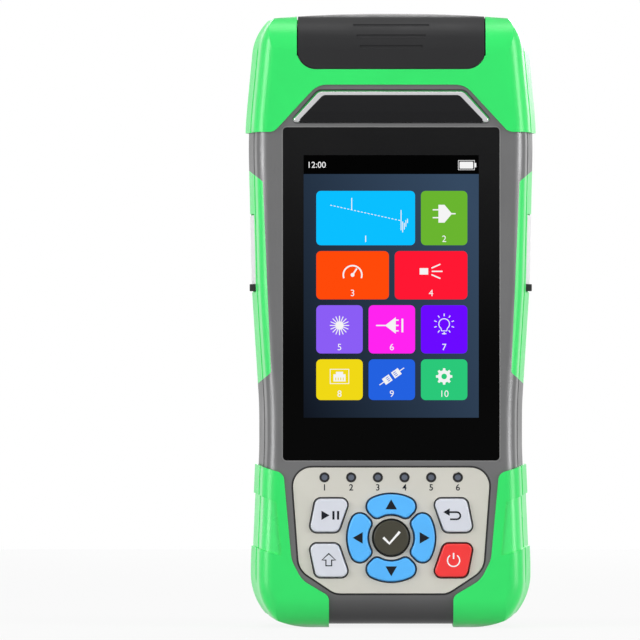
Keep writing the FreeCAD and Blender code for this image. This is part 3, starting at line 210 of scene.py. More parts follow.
def mottle(material, scale, amount):
    """Slight unevenness of colour."""
    tree = material.node_tree
    shader = tree.nodes["Principled BSDF"]
    colour = tuple(shader.inputs["Base Color"].default_value)
    mix = tree.nodes.new("ShaderNodeMix")
    mix.data_type = "RGBA"
    mix.inputs["A"].default_value = tuple(c * (1 - amount) for c in colour[:3]) + (1,)
    mix.inputs["B"].default_value = tuple(min(c * (1 + amount), 1) for c in colour[:3]) + (1,)
    tree.links.new(spread(tree, noise(tree, scale), 0, 1), mix.inputs["Factor"])
    tree.links.new(mix.outputs["Result"], shader.inputs["Base Color"])


def handled(material, scale, amount):
    """Patches that are a little smoother or duller, from handling."""
    tree = material.node_tree
    roughness = tree.nodes["Principled BSDF"].inputs["Roughness"]
    usual = roughness.default_value
    patches = spread(tree, noise(tree, scale), usual - amount, usual + amount)
    tree.links.new(patches, roughness)


def grain(material, size, height):
    """Fine raised grain of a moulded surface: size across and height of its bumps."""
    tree = material.node_tree
    bump = add_node(tree, "ShaderNodeBump", Strength=1.0, Distance=height)
    tree.links.new(noise(tree, 1 / size, 2.0), bump.inputs["Height"])
    tree.links.new(bump.outputs["Normal"], tree.nodes["Principled BSDF"].inputs["Normal"])


def darken_down(material, low, high, least):
    """Painted light: lets the colour fall off between two heights, down to a share of it at the
    lower one.
    """
    tree = material.node_tree
    colour = tree.nodes["Principled BSDF"].inputs["Base Color"]
    parts = tree.nodes.new("ShaderNodeSeparateXYZ")
    tree.links.new(own_place(tree), parts.inputs[0])
    fall = add_node(tree, "ShaderNodeMapRange", From_Min=low, From_Max=high, To_Min=least,
                    To_Max=1)
    fall.interpolation_type = "SMOOTHSTEP"
    tree.links.new(parts.outputs["Z"], fall.inputs["Value"])
    dimmed = tree.nodes.new("ShaderNodeVectorMath")
    dimmed.operation = "SCALE"
    tree.links.new(colour.links[0].from_socket, dimmed.inputs[0])
    tree.links.new(fall.outputs[0], dimmed.inputs["Scale"])
    tree.links.new(dimmed.outputs[0], colour)


def moulded(name, colour, roughness, height=0.012 * MM, **more):
    """Moulded plastic or rubber with uneven colour, handling marks and a fine grain."""
    material = plain(name, colour, roughness, **more)
    mottle(material, 60, 0.03)
    handled(material, 90, 0.05)
    grain(material, 0.5 * MM, height)
    return material


def mottled(name, colour, roughness, scale, amount, **more):
    """Smooth material with uneven colour."""
    material = plain(name, colour, roughness, **more)
    mottle(material, scale, amount)
    return material


def worn_metal(name, colour, roughness, scale, amount, metallic=1.0):
    """Metal with patches from handling."""
    material = plain(name, colour, roughness, metallic=metallic)
    handled(material, scale, amount)
    return material


def lit(name, colour, strength=1.0):
    """Part of a lit display."""
    material = plain(name, UNLIT, 0.3, specular=0.03)
    shader = material.node_tree.nodes["Principled BSDF"]
    shader.inputs["Emission Color"].default_value = (*colour, 1)
    shader.inputs["Emission Strength"].default_value = strength
    return material


green_rubber = moulded("green_rubber", (0.012, 0.71, 0.12), 0.38, specular=0.45, coat=0.3,
                       coat_roughness=0.3)
# Painted light: the sunk grip fields take a lighter green than the rest of the bumper.
grip_painted_light_green = moulded("grip_painted_light_green", (0.04, 0.76, 0.155), 0.3, coat=0.2, coat_roughness=0.3)
shell_gray = moulded("shell_gray", (0.155, 0.155, 0.157), 0.4, metallic=0.85)
# Painted shade: the gray shell grows darker over its lowest 16 mm, down to 0.3 of its colour.
darken_down(shell_gray, 0, 16 * MM, 0.3)
charcoal_rubber = moulded("charcoal_rubber", (0.014, 0.014, 0.015), 0.45, specular=0.22)
charcoal_plastic = moulded("charcoal_plastic", (0.02, 0.02, 0.021), 0.4, specular=0.35)
flap_rubber = moulded("flap_rubber", (0.72, 0.72, 0.73), 0.5)
tab_rubber = moulded("tab_rubber", (0.012, 0.012, 0.012), 0.5)
lens_black = mottled("lens_black", (0.011, 0.011, 0.0115), 0.06, 40, 0.1, specular=0.035)
# Painted reflection: the black glass is lighter towards its top and falls nearly to black below 70
# mm.
darken_down(lens_black, 70 * MM, 150 * MM, 0.02)
badge_black = mottled("badge_black", (0.003, 0.003, 0.004), 0.12, 40, 0.1, specular=0.2)
screen_black = mottled("screen_black", (0.0003, 0.0003, 0.0003), 0.3, 40, 0.1, specular=0.01)
icon_white = lit("icon_white", (0.95, 0.95, 0.95), 0.95)
dark_chrome = worn_metal("dark_chrome", (0.6, 0.6, 0.61), 0.18, 500, 0.06, metallic=0.95)
frame_gray = moulded("frame_gray", (0.2, 0.2, 0.2), 0.35, metallic=0.5)
panel_beige = moulded("panel_beige", (0.61, 0.595, 0.535), 0.45, FINE_GRAIN)
pale_key = moulded("pale_key", (0.67, 0.69, 0.76), 0.32, FINE_GRAIN)
blue_key = moulded("blue_key", (0.085, 0.46, 0.98), 0.3, FINE_GRAIN)
red_key = moulded("red_key", (0.88, 0.03, 0.03), 0.3, FINE_GRAIN)
dark_key = moulded("dark_key", (0.045, 0.042, 0.028), 0.4, FINE_GRAIN, specular=0.3)
dark_print = mottled("dark_print", (0.006, 0.008, 0.013), 0.5, 300, 0.15, specular=0.15)
white_print = mottled("white_print", (0.9, 0.9, 0.9), 0.4, 300, 0.03)
lamp_lens = mottled("lamp_lens", (0.12, 0.15, 0.22), 0.15, 400, 0.1, coat=0.5)
lamp_ring = moulded("lamp_ring", (0.012, 0.012, 0.014), 0.4, specular=0.3)
nickel = worn_metal("nickel", (0.62, 0.6, 0.56), 0.25, 700, 0.08)
black_steel = worn_metal("black_steel", (0.05, 0.05, 0.05), 0.3, 700, 0.08)
cast_metal = plain("cast_metal", (0.55, 0.56, 0.58), 0.4, metallic=1.0)
grain(cast_metal, 0.4 * MM, 0.01 * MM)
board_green = mottled("board_green", (0.01, 0.12, 0.04), 0.35, 400, 0.3)
film_blue = mottled("film_blue", (0.03, 0.1, 0.4), 0.25, 100, 0.1, coat=0.3)
clear_lens = mottled("clear_lens", (0.85, 0.85, 0.8), 0.1, 300, 0.05, coat=0.5)
black_plastic = moulded("black_plastic", (0.01, 0.01, 0.011), 0.35)


# Modelling helpers.

MERGE = 0.002 * MM
MERGE_ANGLE = math.radians(0.3)
SOFT_ANGLE = math.radians(40)
BELT = 2.0 * MM
CORNER_STEPS = 5
PRINT_THICK = 0.03 * MM
RIBBON_THICK = 0.06 * MM
HALF_SHEET = 0.01 * MM
HALF_NUMERAL = 0.015 * MM


def free_selection():
    bpy.ops.object.select_all(action="DESELECT")


def edit():
    bpy.ops.object.mode_set(mode="EDIT")


def leave():
    bpy.ops.object.mode_set(mode="OBJECT")


def select_mesh():
    bpy.ops.mesh.select_all(action="SELECT")


def choose(piece):
    """Makes a piece the only one that is selected."""
    free_selection()
    piece.select_set(True)
    bpy.context.view_layer.objects.active = piece


def placed(name, data):
    """New object of the given mesh or curve, the only one that is selected."""
    piece = bpy.data.objects.new(name, data)
    bpy.context.scene.collection.objects.link(piece)
    choose(piece)
    return piece


def pick(piece, wanted):
    """Opens a piece for editing with only the faces selected that pass a test."""
    choose(piece)
    edit()
    bpy.ops.mesh.select_mode(type="FACE")
    bpy.ops.mesh.select_all(action="DESELECT")
    leave()
    for polygon in piece.data.polygons:
        polygon.select = wanted(polygon)
    edit()


def give_second(piece):
    """Gives the selected faces the second material."""
    piece.active_material_index = 1
    bpy.ops.object.material_slot_assign()


def bake_place(piece):
    """Puts a piece's place into its mesh."""
    choose(piece)
    bpy.ops.object.transform_apply(location=True, rotation=True, scale=True)


def face_outwards(piece):
    choose(piece)
    edit()
    select_mesh()
    bpy.ops.mesh.normals_make_consistent(inside=False)
    leave()


def raise_faces(height):
    """Extrudes the selected faces towards the front."""
    bpy.ops.mesh.extrude_region_move(TRANSFORM_OT_translate={"value": (0, -height, 0)})


def upright_plane(centre, wide, tall):
    """Rectangle that faces the front, left open for editing."""
    free_selection()
    bpy.ops.mesh.primitive_plane_add(size=1, location=centre, rotation=(UPRIGHT, 0, 0))
    piece = bpy.context.object
    bake_place(piece)
    edit()
    bpy.ops.transform.resize(value=(wide, 1, tall), center_override=centre)
    return piece


def settle(piece, name, material, body="housing", sharp=35):
    """Names a finished piece, gives it its material and lets it ride on its body.

    A piece that has its materials already is given None.
    """
    piece.name = name
    piece.data.name = name
    if material:
        piece.data.materials.clear()
        piece.data.materials.append(material)
    choose(piece)
    bpy.ops.object.shade_smooth_by_angle(angle=math.radians(sharp))
    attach(piece, body)


def keep_belt(piece):
    """Keeps the crease along the housing's widest line crisp in the shading."""
    on_line = [abs(vertex.co.y - BELT) < 0.1 * MM for vertex in piece.data.vertices]
    for edge in piece.data.edges:
        first, last = edge.vertices
        if on_line[first] and on_line[last]:
            edge.use_edge_sharp = True


def flatten_normals(piece):
    """Lets large faces set the shading of the small rounded ones beside them."""
    choose(piece)
    weighted = piece.modifiers.new("flat_faces", "WEIGHTED_NORMAL")
    weighted.keep_sharp = True
    bpy.ops.object.modifier_apply(modifier=weighted.name)


def soften(piece, rounding, steps, rim):
    """Rounds the sharp edges of a piece; rim is the material slot that the rounded edges take."""
    choose(piece)
    bevel = piece.modifiers.new("soft_edges", "BEVEL")
    bevel.width = rounding
    bevel.segments = steps
    bevel.limit_method = "ANGLE"
    bevel.angle_limit = SOFT_ANGLE
    bevel.miter_outer = "MITER_ARC"
    bevel.material = rim
    bevel.use_clamp_overlap = rim < 0
    bpy.ops.object.modifier_apply(modifier=bevel.name)


def refined(node, material, rounding=0.0, steps=2, shape=None, second=None, rim=-1):
    """Copy of a CAD node in its place, with joined faces, softened edges and smooth shading.

    shape is a function that works the mesh further once its edges are softened.
    second is a second material, for the faces that shape or rim gives it to.
    """
    piece = placed(node + "_skin", frame["nodes"][node].data.copy())
    if piece.data.has_custom_normals:
        bpy.ops.mesh.customdata_custom_splitnormals_clear()
    edit()
    select_mesh()
    bpy.ops.mesh.remove_doubles(threshold=MERGE)
    bpy.ops.mesh.dissolve_limited(angle_limit=MERGE_ANGLE)
    leave()
    piece.data.materials.clear()
    piece.data.materials.append(material)
    if second:
        piece.data.materials.append(second)
    if rounding:
        soften(piece, rounding, steps, rim)
    if shape:
        shape(piece)
    settle(piece, node + "_skin", None, BODY_OF[node])
    keep_belt(piece)
    flatten_normals(piece)
    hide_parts(node)


def paint(node, material):
    """Gives a CAD node that stays its material."""
    thing = frame["nodes"][node]
    thing.data.materials.clear()
    thing.data.materials.append(material)


def slab(name, across, up, front, thick, corner, material, body="housing"):
    """Thin plate with rounded corners, its face to the front: across and up are its two limits."""
    centre = (sum(across) / 2, front + thick, sum(up) / 2)
    piece = upright_plane(centre, across[1] - across[0], up[1] - up[0])
    if corner:
        bpy.ops.mesh.bevel(offset=corner, segments=CORNER_STEPS, affect="VERTICES")
    raise_faces(thick)
    leave()
    face_outwards(piece)
    settle(piece, name, material, body)


def wedge(name, centre, radius, turn, front, material, body):
    """Thin equal-sided triangle, with one corner up at turn 0 degrees."""
    free_selection()
    place = (centre[0], front + PRINT_THICK, centre[1])
    bpy.ops.mesh.primitive_circle_add(vertices=3, radius=radius, fill_type="NGON", location=place,
                                      rotation=(UPRIGHT, math.radians(turn), 0))
    piece = bpy.context.object
    bake_place(piece)
    edit()
    raise_faces(PRINT_THICK)
    leave()
    face_outwards(piece)
    settle(piece, name, material, body)


def add_spline(curve, points, closed):
    spline = curve.splines.new("POLY")
    spline.points.add(len(points) - 1)
    for point, place in zip(spline.points, points):
        point.co = (*place, 1)
    spline.use_cyclic_u = closed


def meshed(name, curve):
    """Mesh made from a curve."""
    placed(name, curve)
    bpy.ops.object.convert(target="MESH")
    return bpy.context.object


def ribbon(name, runs, wide, front, material, body="housing"):
    """Thin raised lines through points of the front plane: each run is a list of (across, up)."""
    curve = bpy.data.curves.new(name, "CURVE")
    curve.dimensions = "3D"
    curve.bevel_depth = wide / 2
    curve.bevel_resolution = 1
    curve.use_fill_caps = True
    for run in runs:
        closed = run[0] == run[-1]
        if closed:
            run = run[:-1]
        add_spline(curve, [(across, 0, up) for across, up in run], closed)
    piece = meshed(name, curve)
    piece.scale.y = RIBBON_THICK / wide
    piece.location.y = front
    bake_place(piece)
    settle(piece, name, material, body, sharp=60)


def flat_shape(name, loops, front, material):
    """Thin plate inside closed loops of the front plane; a loop within another is a hole."""
    curve = bpy.data.curves.new(name, "CURVE")
    curve.dimensions = "2D"
    curve.fill_mode = "BOTH"
    curve.extrude = HALF_SHEET
    for loop in loops:
        add_spline(curve, [(across, up, 0) for across, up in loop[:-1]], True)
    piece = meshed(name, curve)
    piece.rotation_euler.x = UPRIGHT
    piece.location.y = front
    bake_place(piece)
    settle(piece, name, material)


def numeral(name, words, size, centre, front, material, bold=0.0):
    """Plain figures, centred on a point."""
    free_selection()
    bpy.ops.object.text_add(location=(centre[0], front, centre[1]), rotation=(UPRIGHT, 0, 0))
    piece = bpy.context.object
    piece.data.body = words
    piece.data.size = size
    piece.data.align_x = "CENTER"
    piece.data.align_y = "CENTER"
    piece.data.extrude = HALF_NUMERAL
    piece.data.offset = bold
    bpy.ops.object.convert(target="MESH")
    piece = bpy.context.object
    bake_place(piece)
    settle(piece, name, material)


# Points of drawn lines.

def arc(centre, radius, start, end, count):
    """Points along an arc, with its angles in degrees."""
    turns = [math.radians(start + (end - start) * i / count) for i in range(count + 1)]
    return [(centre[0] + radius * math.cos(t), centre[1] + radius * math.sin(t)) for t in turns]


def ring(centre, radius, count):
    points = arc(centre, radius, 0, 360, count)
    return points[:-1] + points[:1]


def rays(centre, inner, outer, count, start=0.0):
    """Short lines that point away from a centre."""
    made = []
    for i in range(count):
        turn = math.radians(start + 360 * i / count)
        made.append([(centre[0] + r * math.cos(turn), centre[1] + r * math.sin(turn))
                     for r in (inner, outer)])
    return made


def box_loop(left, right, low, high):
    return [(left, low), (right, low), (right, high), (left, high), (left, low)]


def turned(points, degrees):
    t = math.radians(degrees)
    return [(a * math.cos(t) - b * math.sin(t), a * math.sin(t) + b * math.cos(t))
            for a, b in points]


def move(runs, centre):
    """Runs drawn in millimetres about the origin, brought to a centre."""
    return [[(centre[0] + a * MM, centre[1] + b * MM) for a, b in run] for run in runs]


# Housing, rubber and cover.

RECESS_DEEP = 0.45 * MM
# The inner, the upper and the lower bound of the right grip field, in millimetres: a point on
# each (across, up), its direction, and which side of it the field is on.
RECESS_BOUNDS = [
    ((31.3, 27.5), (1.3, 13.6), 1),
    ((31.9, 35.2), (5.7, 2.0), 1),
    ((30.9, 20.2), (7.1, 2.1), -1),
]
RECESS_MARGIN = 0.005 * MM
# The field sinks towards an upright core of the bumper: half the core's width, its front and
# its back.
CORE_HALF = 31.5 * MM
CORE_FRONT = -17.5 * MM
CORE_BACK = 16.0 * MM


def sunk(place):
    """Where a point of the grip field goes."""
    nearest = Vector((min(max(place.x, -CORE_HALF), CORE_HALF),
                      min(max(place.y, CORE_FRONT), CORE_BACK), place.z))
    return place + (nearest - place).normalized() * RECESS_DEEP


def recess_cheek(piece):
    """Sunk grip field that wraps round the side of a lower bumper, between three slanted cuts."""
    side = 1 if piece.name.startswith("right") else -1
    choose(piece)
    edit()
    select_mesh()
    bpy.ops.mesh.quads_convert_to_tris()
    bounds = []
    for (across, up), (run, rise), inward in RECESS_BOUNDS:
        place = (side * across * MM, 0, up * MM)
        length = math.hypot(run, rise)
        normal = (side * rise / length, 0, -run / length)
        bounds.append((place, normal, inward))
        select_mesh()
        bpy.ops.mesh.bisect(plane_co=place, plane_no=normal)
    leave()

    def in_field(polygon):
        centre = polygon.center
        for place, normal, inward in bounds:
            reach = inward * sum((c - p) * n for c, p, n in zip(centre, place, normal))
            if reach <= RECESS_MARGIN:
                return False
        return polygon.normal.x * centre.x + polygon.normal.y * centre.y > 0

    pick(piece, in_field)
    bpy.ops.mesh.extrude_region()
    # The sunk field takes the lighter green, as painted light.
    give_second(piece)
    leave()
    for vertex in piece.data.vertices:
        if vertex.select:
            vertex.co = sunk(vertex.co)


def frame_stand(piece):
    """Sunk field in the stand's back, inside a raised border."""
    pick(piece, lambda polygon: polygon.normal.y > 0.99 and polygon.area > 100 * MM * MM)
    bpy.ops.mesh.inset(thickness=3.0 * MM)
    bpy.ops.mesh.inset(thickness=0.4 * MM, depth=-0.6 * MM)
    leave()


def dress_housing():
    refined("top_bumper", green_rubber, 0.45 * MM, 3)
    for side in ("left", "right"):
        refined(side + "_lower_bumper", green_rubber, 0.3 * MM, 3, recess_cheek, grip_painted_light_green)
        refined(side + "_side_grip", green_rubber, 0.2 * MM)
        refined(side + "_flap", flap_rubber, 0.2 * MM)
        refined(side + "_pull_tab", tab_rubber, 0.2 * MM)
    refined("front_shell", shell_gray, 0.2 * MM)
    refined("rear_shell", shell_gray, 0.2 * MM)
    refined("battery_door", shell_gray, 0.25 * MM)
    refined("port_cover", charcoal_rubber, 0.2 * MM)
    refined("stand", charcoal_plastic, 0.25 * MM, shape=frame_stand)


PAINTED = [
    (board_green, ("main_board",)),
    (cast_metal, ("optical_engine", "display_module")),
    (nickel, ("trace_port", "fault_light_port", "power_meter_port", "charging_socket",
              "dome_switches")),
    (black_steel, ("hinge_pin", "stand_pin")),
    (film_blue, ("battery_pack",)),
    (clear_lens, ("torch_lens",)),
    (black_plastic, ("network_jack",)),
    (tab_rubber, ("key_mat",)),
    (lamp_lens, ("status_lamps",)),
]

# Centres of the screw heads, across and up in millimetres.
SCREWS = [
    ("case_screws", [(-31.0, 133.2), (31.0, 133.2), (-27.0, 48.8), (27.0, 48.8)]),
    ("door_screws", [(-15.0, 83.0), (15.0, 83.0)]),
]
CROSS_ARM = 1.0 * MM
CROSS_WIDE = 0.5 * MM


def dress_screws():
    """Softened heads, each with a thin black cross on it: painted shade of a cross recess."""
    for node, centres in SCREWS:
        refined(node, black_steel, 0.25 * MM)
        cross_shade = []
        for across, up in centres:
            x, z = across * MM, up * MM
            cross_shade.append([(x - CROSS_ARM, z), (x + CROSS_ARM, z)])
            cross_shade.append([(x, z - CROSS_ARM), (x, z + CROSS_ARM)])
        # Painted shade: black lines stand for the dark hollow of each screw's cross recess.
        ribbon(node[:-1] + "_cross", cross_shade, CROSS_WIDE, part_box(node)[1].y, tab_rubber)


dress_housing()
for shade, nodes in PAINTED:
    for node in nodes:
        paint(node, shade)
dress_screws()


# Badge: a black plate with nothing on it, in a bright bevelled rim.

BADGE_SLANT = 1.5 * MM
BADGE_TOP_RIM = 0.9 * MM
BADGE_RAISED = 0.06 * MM


def blacken_walls(piece):
    """Gives the side walls of the badge the second material."""
    pick(piece, lambda polygon: polygon.normal.y > -0.5)
    give_second(piece)
    leave()


def dress_badge():
    refined("nameplate", dark_chrome, 0.12 * MM, shape=blacken_walls, second=badge_black)
    wide = BADGE_HIGH.x - BADGE_LOW.x
    tall = BADGE_HIGH.z - BADGE_LOW.z
    # The black face reaches down over the rim's lower bevel: painted shade, so that the rim shows
    # bright only along its top and slanted sides.
    piece = placed("badge_face", frame["nodes"]["nameplate"].data.copy())
    edit()
    select_mesh()
    bpy.ops.mesh.remove_doubles(threshold=MERGE)
    bpy.ops.transform.resize(
        value=((wide - 2 * BADGE_SLANT) / wide, 0.5, (tall - BADGE_TOP_RIM) / tall),
        center_override=(0, BADGE_LOW.y - BADGE_RAISED, BADGE_LOW.z))
    leave()
    settle(piece, "badge_face", badge_black)


dress_badge()


# Keypad: panel, lamps, keys and the marks on them.

KEY_ROUNDING = 0.1 * MM
MARK_FRONT = KEY_FRONT - 0.02 * MM
KEY_COLOURS = [
    ("key_up", blue_key),
    ("key_left", blue_key),
    ("key_down", blue_key),
    ("key_right", blue_key),
    ("key_run", pale_key),
    ("key_back", pale_key),
    ("key_shift", pale_key),
    ("key_power", red_key),
    ("key_centre", dark_key),
]
LAMP_COUNT = 6
LAMP_PITCH = 7.46 * MM
BEZEL_RADIUS = 1.2 * MM
BEZEL_TALL = 0.22 * MM


def dress_keys():
    # The panel's rounded edges, round its key and lamp holes and along its outline, take the black
    # rubber: painted shade in the gaps.
    refined("keypad_panel", panel_beige, 0.28 * MM, second=tab_rubber, rim=1)
    for node, colour in KEY_COLOURS:
        refined(node, colour, KEY_ROUNDING)


def key_middle(node):
    low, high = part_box(node)
    return ((low.x + high.x) / 2, (low.z + high.z) / 2)


def mark_key(node, name, runs, wide, material=dark_print):
    """Lines on a key, drawn in millimetres about its middle."""
    ribbon(name, move(runs, key_middle(node)), wide, MARK_FRONT, material, BODY_OF[node])


def point_key(node, name, offset, radius, turn):
    """Triangle on a key, at an offset from its middle in millimetres."""
    place = move([[offset]], key_middle(node))[0][0]
    wedge(name, place, radius, turn, MARK_FRONT, dark_print, BODY_OF[node])


def mark_keys():
    for node, turn in (("key_up", 0), ("key_right", 90), ("key_down", 180), ("key_left", -90)):
        point_key(node, node + "_mark", (0, 0), 1.85 * MM, turn)
    point_key("key_run", "run_triangle", (-1.3, 0), 1.5 * MM, 90)
    x, z = key_middle("key_run")
    for i in range(2):
        left = x + (1.0 + 1.3 * i) * MM
        slab(f"run_bar_{i}", (left, left + 0.6 * MM), (z - 1.2 * MM, z + 1.2 * MM), MARK_FRONT,
             PRINT_THICK, 0, dark_print, "key_run")
    power = [arc((0, 0), 1.7, 125, 415, 20), [(0, 0.4), (0, 2.1)]]
    mark_key("key_power", "power_mark", power, 0.42 * MM, white_print)
    tick = [(-2.2, 0.1), (-0.5, -1.6), (2.4, 1.7)]
    mark_key("key_centre", "centre_mark", [tick], 0.8 * MM, white_print)
    hook = [(-1.2, 0.9), (0.9, 0.9)] + arc((0.9, -0.1), 1.0, 90, -90, 8) + [(-1.0, -1.1)]
    mark_key("key_back", "back_hook", [hook], 0.55 * MM)
    point_key("key_back", "back_head", (-1.7, 0.9), 1.2 * MM, -90)
    arrow = [(0, 1.9), (1.9, 0.1), (0.8, 0.1), (0.8, -1.5), (-0.8, -1.5), (-0.8, 0.1), (-1.9, 0.1),
             (0, 1.9)]
    mark_key("key_shift", "shift_arrow", [arrow], 0.5 * MM)


def lamp_bezel():
    """Dark ring round one lamp, raised from the panel, about the origin."""
    free_selection()
    bpy.ops.mesh.primitive_circle_add(vertices=32, radius=BEZEL_RADIUS, fill_type="NGON",
                                      rotation=(UPRIGHT, 0, 0))
    piece = bpy.context.object
    bake_place(piece)
    edit()
    raise_faces(BEZEL_TALL)
    bpy.ops.mesh.inset(thickness=0.18 * MM)
    bpy.ops.mesh.inset(thickness=0.2 * MM, depth=-0.1 * MM)
    bpy.ops.mesh.delete(type="FACE")
    leave()
    pick(piece, lambda polygon: abs(polygon.center.y) < 0.01 * MM)
    bpy.ops.mesh.delete(type="FACE")
    leave()
    return piece


def dress_lamps():
    low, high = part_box("status_lamps")
    up = (low.z + high.z) / 2
    pattern = lamp_bezel()
    for i in range(LAMP_COUNT):
        across = (i - (LAMP_COUNT - 1) / 2) * LAMP_PITCH
        piece = placed(f"lamp_bezel_{i + 1}", pattern.data.copy())
        piece.location = (across, PANEL_FRONT + 0.05 * MM, up)
        bake_place(piece)
        settle(piece, f"lamp_bezel_{i + 1}", lamp_ring)
        numeral(f"lamp_number_{i + 1}", str(i + 1), 2.5 * MM, (across, up - 2.9 * MM),
                PANEL_FRONT - 0.01 * MM, dark_print, 0.03 * MM)
    bpy.data.objects.remove(pattern)


dress_keys()
mark_keys()
dress_lamps()


# Display: black glass in a fine frame, and the lit picture on it.

SCREEN_HALF = 48.96 * MM / 2
SCREEN_LOW = LENS_LOW.z + 12.0 * MM
SCREEN_HIGH = SCREEN_LOW + 73.4 * MM
STATUS_TALL = 5.3 * MM
STATUS_MIDDLE = SCREEN_HIGH - 2.8 * MM
GLASS = LENS_LOW.y
LAYER = 0.02 * MM
LENS_LIP = 0.3 * MM
TILE_WIDE = 13.0 * MM
TILE_GAP = 1.63 * MM
TILE_CORNER = 1.3 * MM
TILES_LEFT = -20.95 * MM
TILES_TOP = SCREEN_LOW + 63.4 * MM
ROW_HEIGHTS = [h * MM for h in (15.2, 13.5, 13.5, 11.4)]
ICON_DOWN = 0.42
CAPTION_TALL = 2.6 * MM
CAPTION_UP = 1.7 * MM
CLOCK_TALL = 2.4 * MM
CLOCK_PLACE = (-SCREEN_HALF + 3.6 * MM, STATUS_MIDDLE)
BATTERY_LEFT = SCREEN_HALF - 5.7 * MM
BATTERY_RIGHT = SCREEN_HALF - 1.2 * MM
BATTERY_LOW = STATUS_MIDDLE - 1.3 * MM
BATTERY_HIGH = STATUS_MIDDLE + 1.3 * MM
BATTERY_RIM = 0.35 * MM
BATTERY_TIP = (0.5 * MM, 0.6 * MM)


def backdrop_material():
    """Dark blue that grows lighter towards the upper right."""
    material = plain("screen_backdrop", UNLIT, 0.3, specular=0.03)
    tree = material.node_tree
    turn = add_node(tree, "ShaderNodeMapping", Location=(0, 0, -0.02), Scale=(14, 1, 6))
    parts = tree.nodes.new("ShaderNodeSeparateXYZ")
    tree.links.new(own_place(tree), turn.inputs["Vector"])
    tree.links.new(turn.outputs["Vector"], parts.inputs["Vector"])
    total = tree.nodes.new("ShaderNodeMath")
    tree.links.new(parts.outputs["X"], total.inputs[0])
    tree.links.new(parts.outputs["Z"], total.inputs[1])
    ramp = tree.nodes.new("ShaderNodeValToRGB")
    ramp.color_ramp.elements[0].color = (0.003, 0.006, 0.013, 1)
    ramp.color_ramp.elements[1].color = (0.034, 0.065, 0.117, 1)
    tree.links.new(total.outputs[0], ramp.inputs["Fac"])
    shader = tree.nodes["Principled BSDF"]
    tree.links.new(ramp.outputs["Color"], shader.inputs["Emission Color"])
    shader.inputs["Emission Strength"].default_value = 1.0
    return material


def tile_spans(row):
    """Left and right limits of each tile in a row: the upper two rows hold two tiles each."""
    full = 3 * TILE_WIDE + 2 * TILE_GAP
    if row == 0:
        widths = [2 * TILE_WIDE + TILE_GAP, TILE_WIDE]
    elif row == 1:
        widths = [(full - TILE_GAP) / 2] * 2
    else:
        widths = [TILE_WIDE] * 3
    spans = []
    left = TILES_LEFT
    for wide in widths:
        spans.append((left, left + wide))
        left += wide + TILE_GAP
    return spans


# Each icon gives its lines and its solid shapes in millimetres. A loop inside a shape is a hole.

def trace_icon():
    """Falling dashed trace with one reflection and noise at its end, like the one a fibre gives."""
    def level(across):
        return 2.4 - 0.22 * (across + 9.9)

    lines = []
    for i in range(21):
        across = -9.9 + 0.95 * i
        lines.append([(across, level(across)), (across + 0.55, level(across + 0.55))])
    lines.append([(-3.9, level(-3.9)), (-3.9, 4.4)])
    for across, top, bottom in ((9.9, 1.0, -4.6), (10.35, -2.2, -5.2), (10.8, -2.6, -4.4),
                                (11.25, -1.8, -3.6), (11.7, -1.4, -2.6)):
        lines.append([(across, top), (across, bottom)])
    return lines, []


def event_icon():
    """Pointed body with two prongs."""
    lines = [[(-3.2, 1.1), (-1.5, 1.1)], [(-3.2, -1.1), (-1.5, -1.1)], [(1.9, 0), (3.2, 0)]]
    body = [(-1.6, 2.5), (-1.6, -2.5), (0.1, -2.5), (2.2, 0), (0.1, 2.5), (-1.6, 2.5)]
    return lines, [body]


def gauge_icon():
    dial = arc((0, -1.0), 2.6, 200, -20, 18)
    return [dial, [(0, -1.0), (1.2, 0.8)]], [ring((0, -1.0), 0.55, 12)]


def beam_icon():
    lines = [[(0.2, 0), (3.2, 0)], [(0.1, 0.9), (2.6, 2.0)], [(0.1, -0.9), (2.6, -2.0)]]
    return lines, [box_loop(-3.2, -0.8, -0.9, 0.9)]


def burst_icon():
    return rays((0, 0), 0.9, 2.7, 16), [ring((0, 0), 1.15, 20)]


def loss_icon():
    """Line that widens into a body before a bar."""
    lines = [[(-4.4, 0), (-1.4, 0)]] + [[(0.9, b), (1.9, b)] for b in (-1.5, 0, 1.5)]
    body = [(-1.9, 0), (1.1, 2.3), (1.1, -2.3), (-1.9, 0)]
    return lines, [body, box_loop(2.7, 3.2, -1.9, 1.9)]


def bulb_icon():
    glass = arc((0, 0.4), 1.5, 235, -55, 16)
    outline = glass + [(0.75, -1.5), (-0.75, -1.5), glass[0]]
    return [outline, [(-0.6, -2.3), (0.6, -2.3)]] + rays((0, 0.4), 2.2, 2.9, 10, 18), []


def socket_icon():
    body = [(-1.7, -1.4), (1.7, -1.4), (1.7, 0.6), (1.0, 0.6), (1.0, 1.3), (-1.0, 1.3),
            (-1.0, 0.6), (-1.7, 0.6), (-1.7, -1.4)]
    contacts = [box_loop(a - 0.13, a + 0.13, -1.1, -0.3) for a in (-1.05, -0.35, 0.35, 1.05)]
    return [box_loop(-2.6, 2.6, -2.0, 2.0)], [body] + contacts


def plug_icon():
    """Two plugs that lie end to end on a slant."""
    lines = []
    solids = []
    for side in (35, 215):
        lines.append(turned([(2.6, 0), (4.2, 0)], side))
        solids.append(turned(box_loop(0.4, 2.7, -1.0, 1.0), side))
        for b in (-0.5, 0.0, 0.5):
            solids.append(turned(box_loop(0.8, 1.7, b - 0.1, b + 0.1), side))
    return lines, solids


def gear_icon():
    outline = []
    for i in range(8):
        for share, reach in ((-0.28, 1.75), (-0.18, 2.31), (0.18, 2.31), (0.28, 1.75)):
            turn = 2 * math.pi * (i + share) / 8
            outline.append((reach * math.cos(turn), reach * math.sin(turn)))
    return [], [outline + outline[:1], ring((0, 0), 0.7875, 16)]


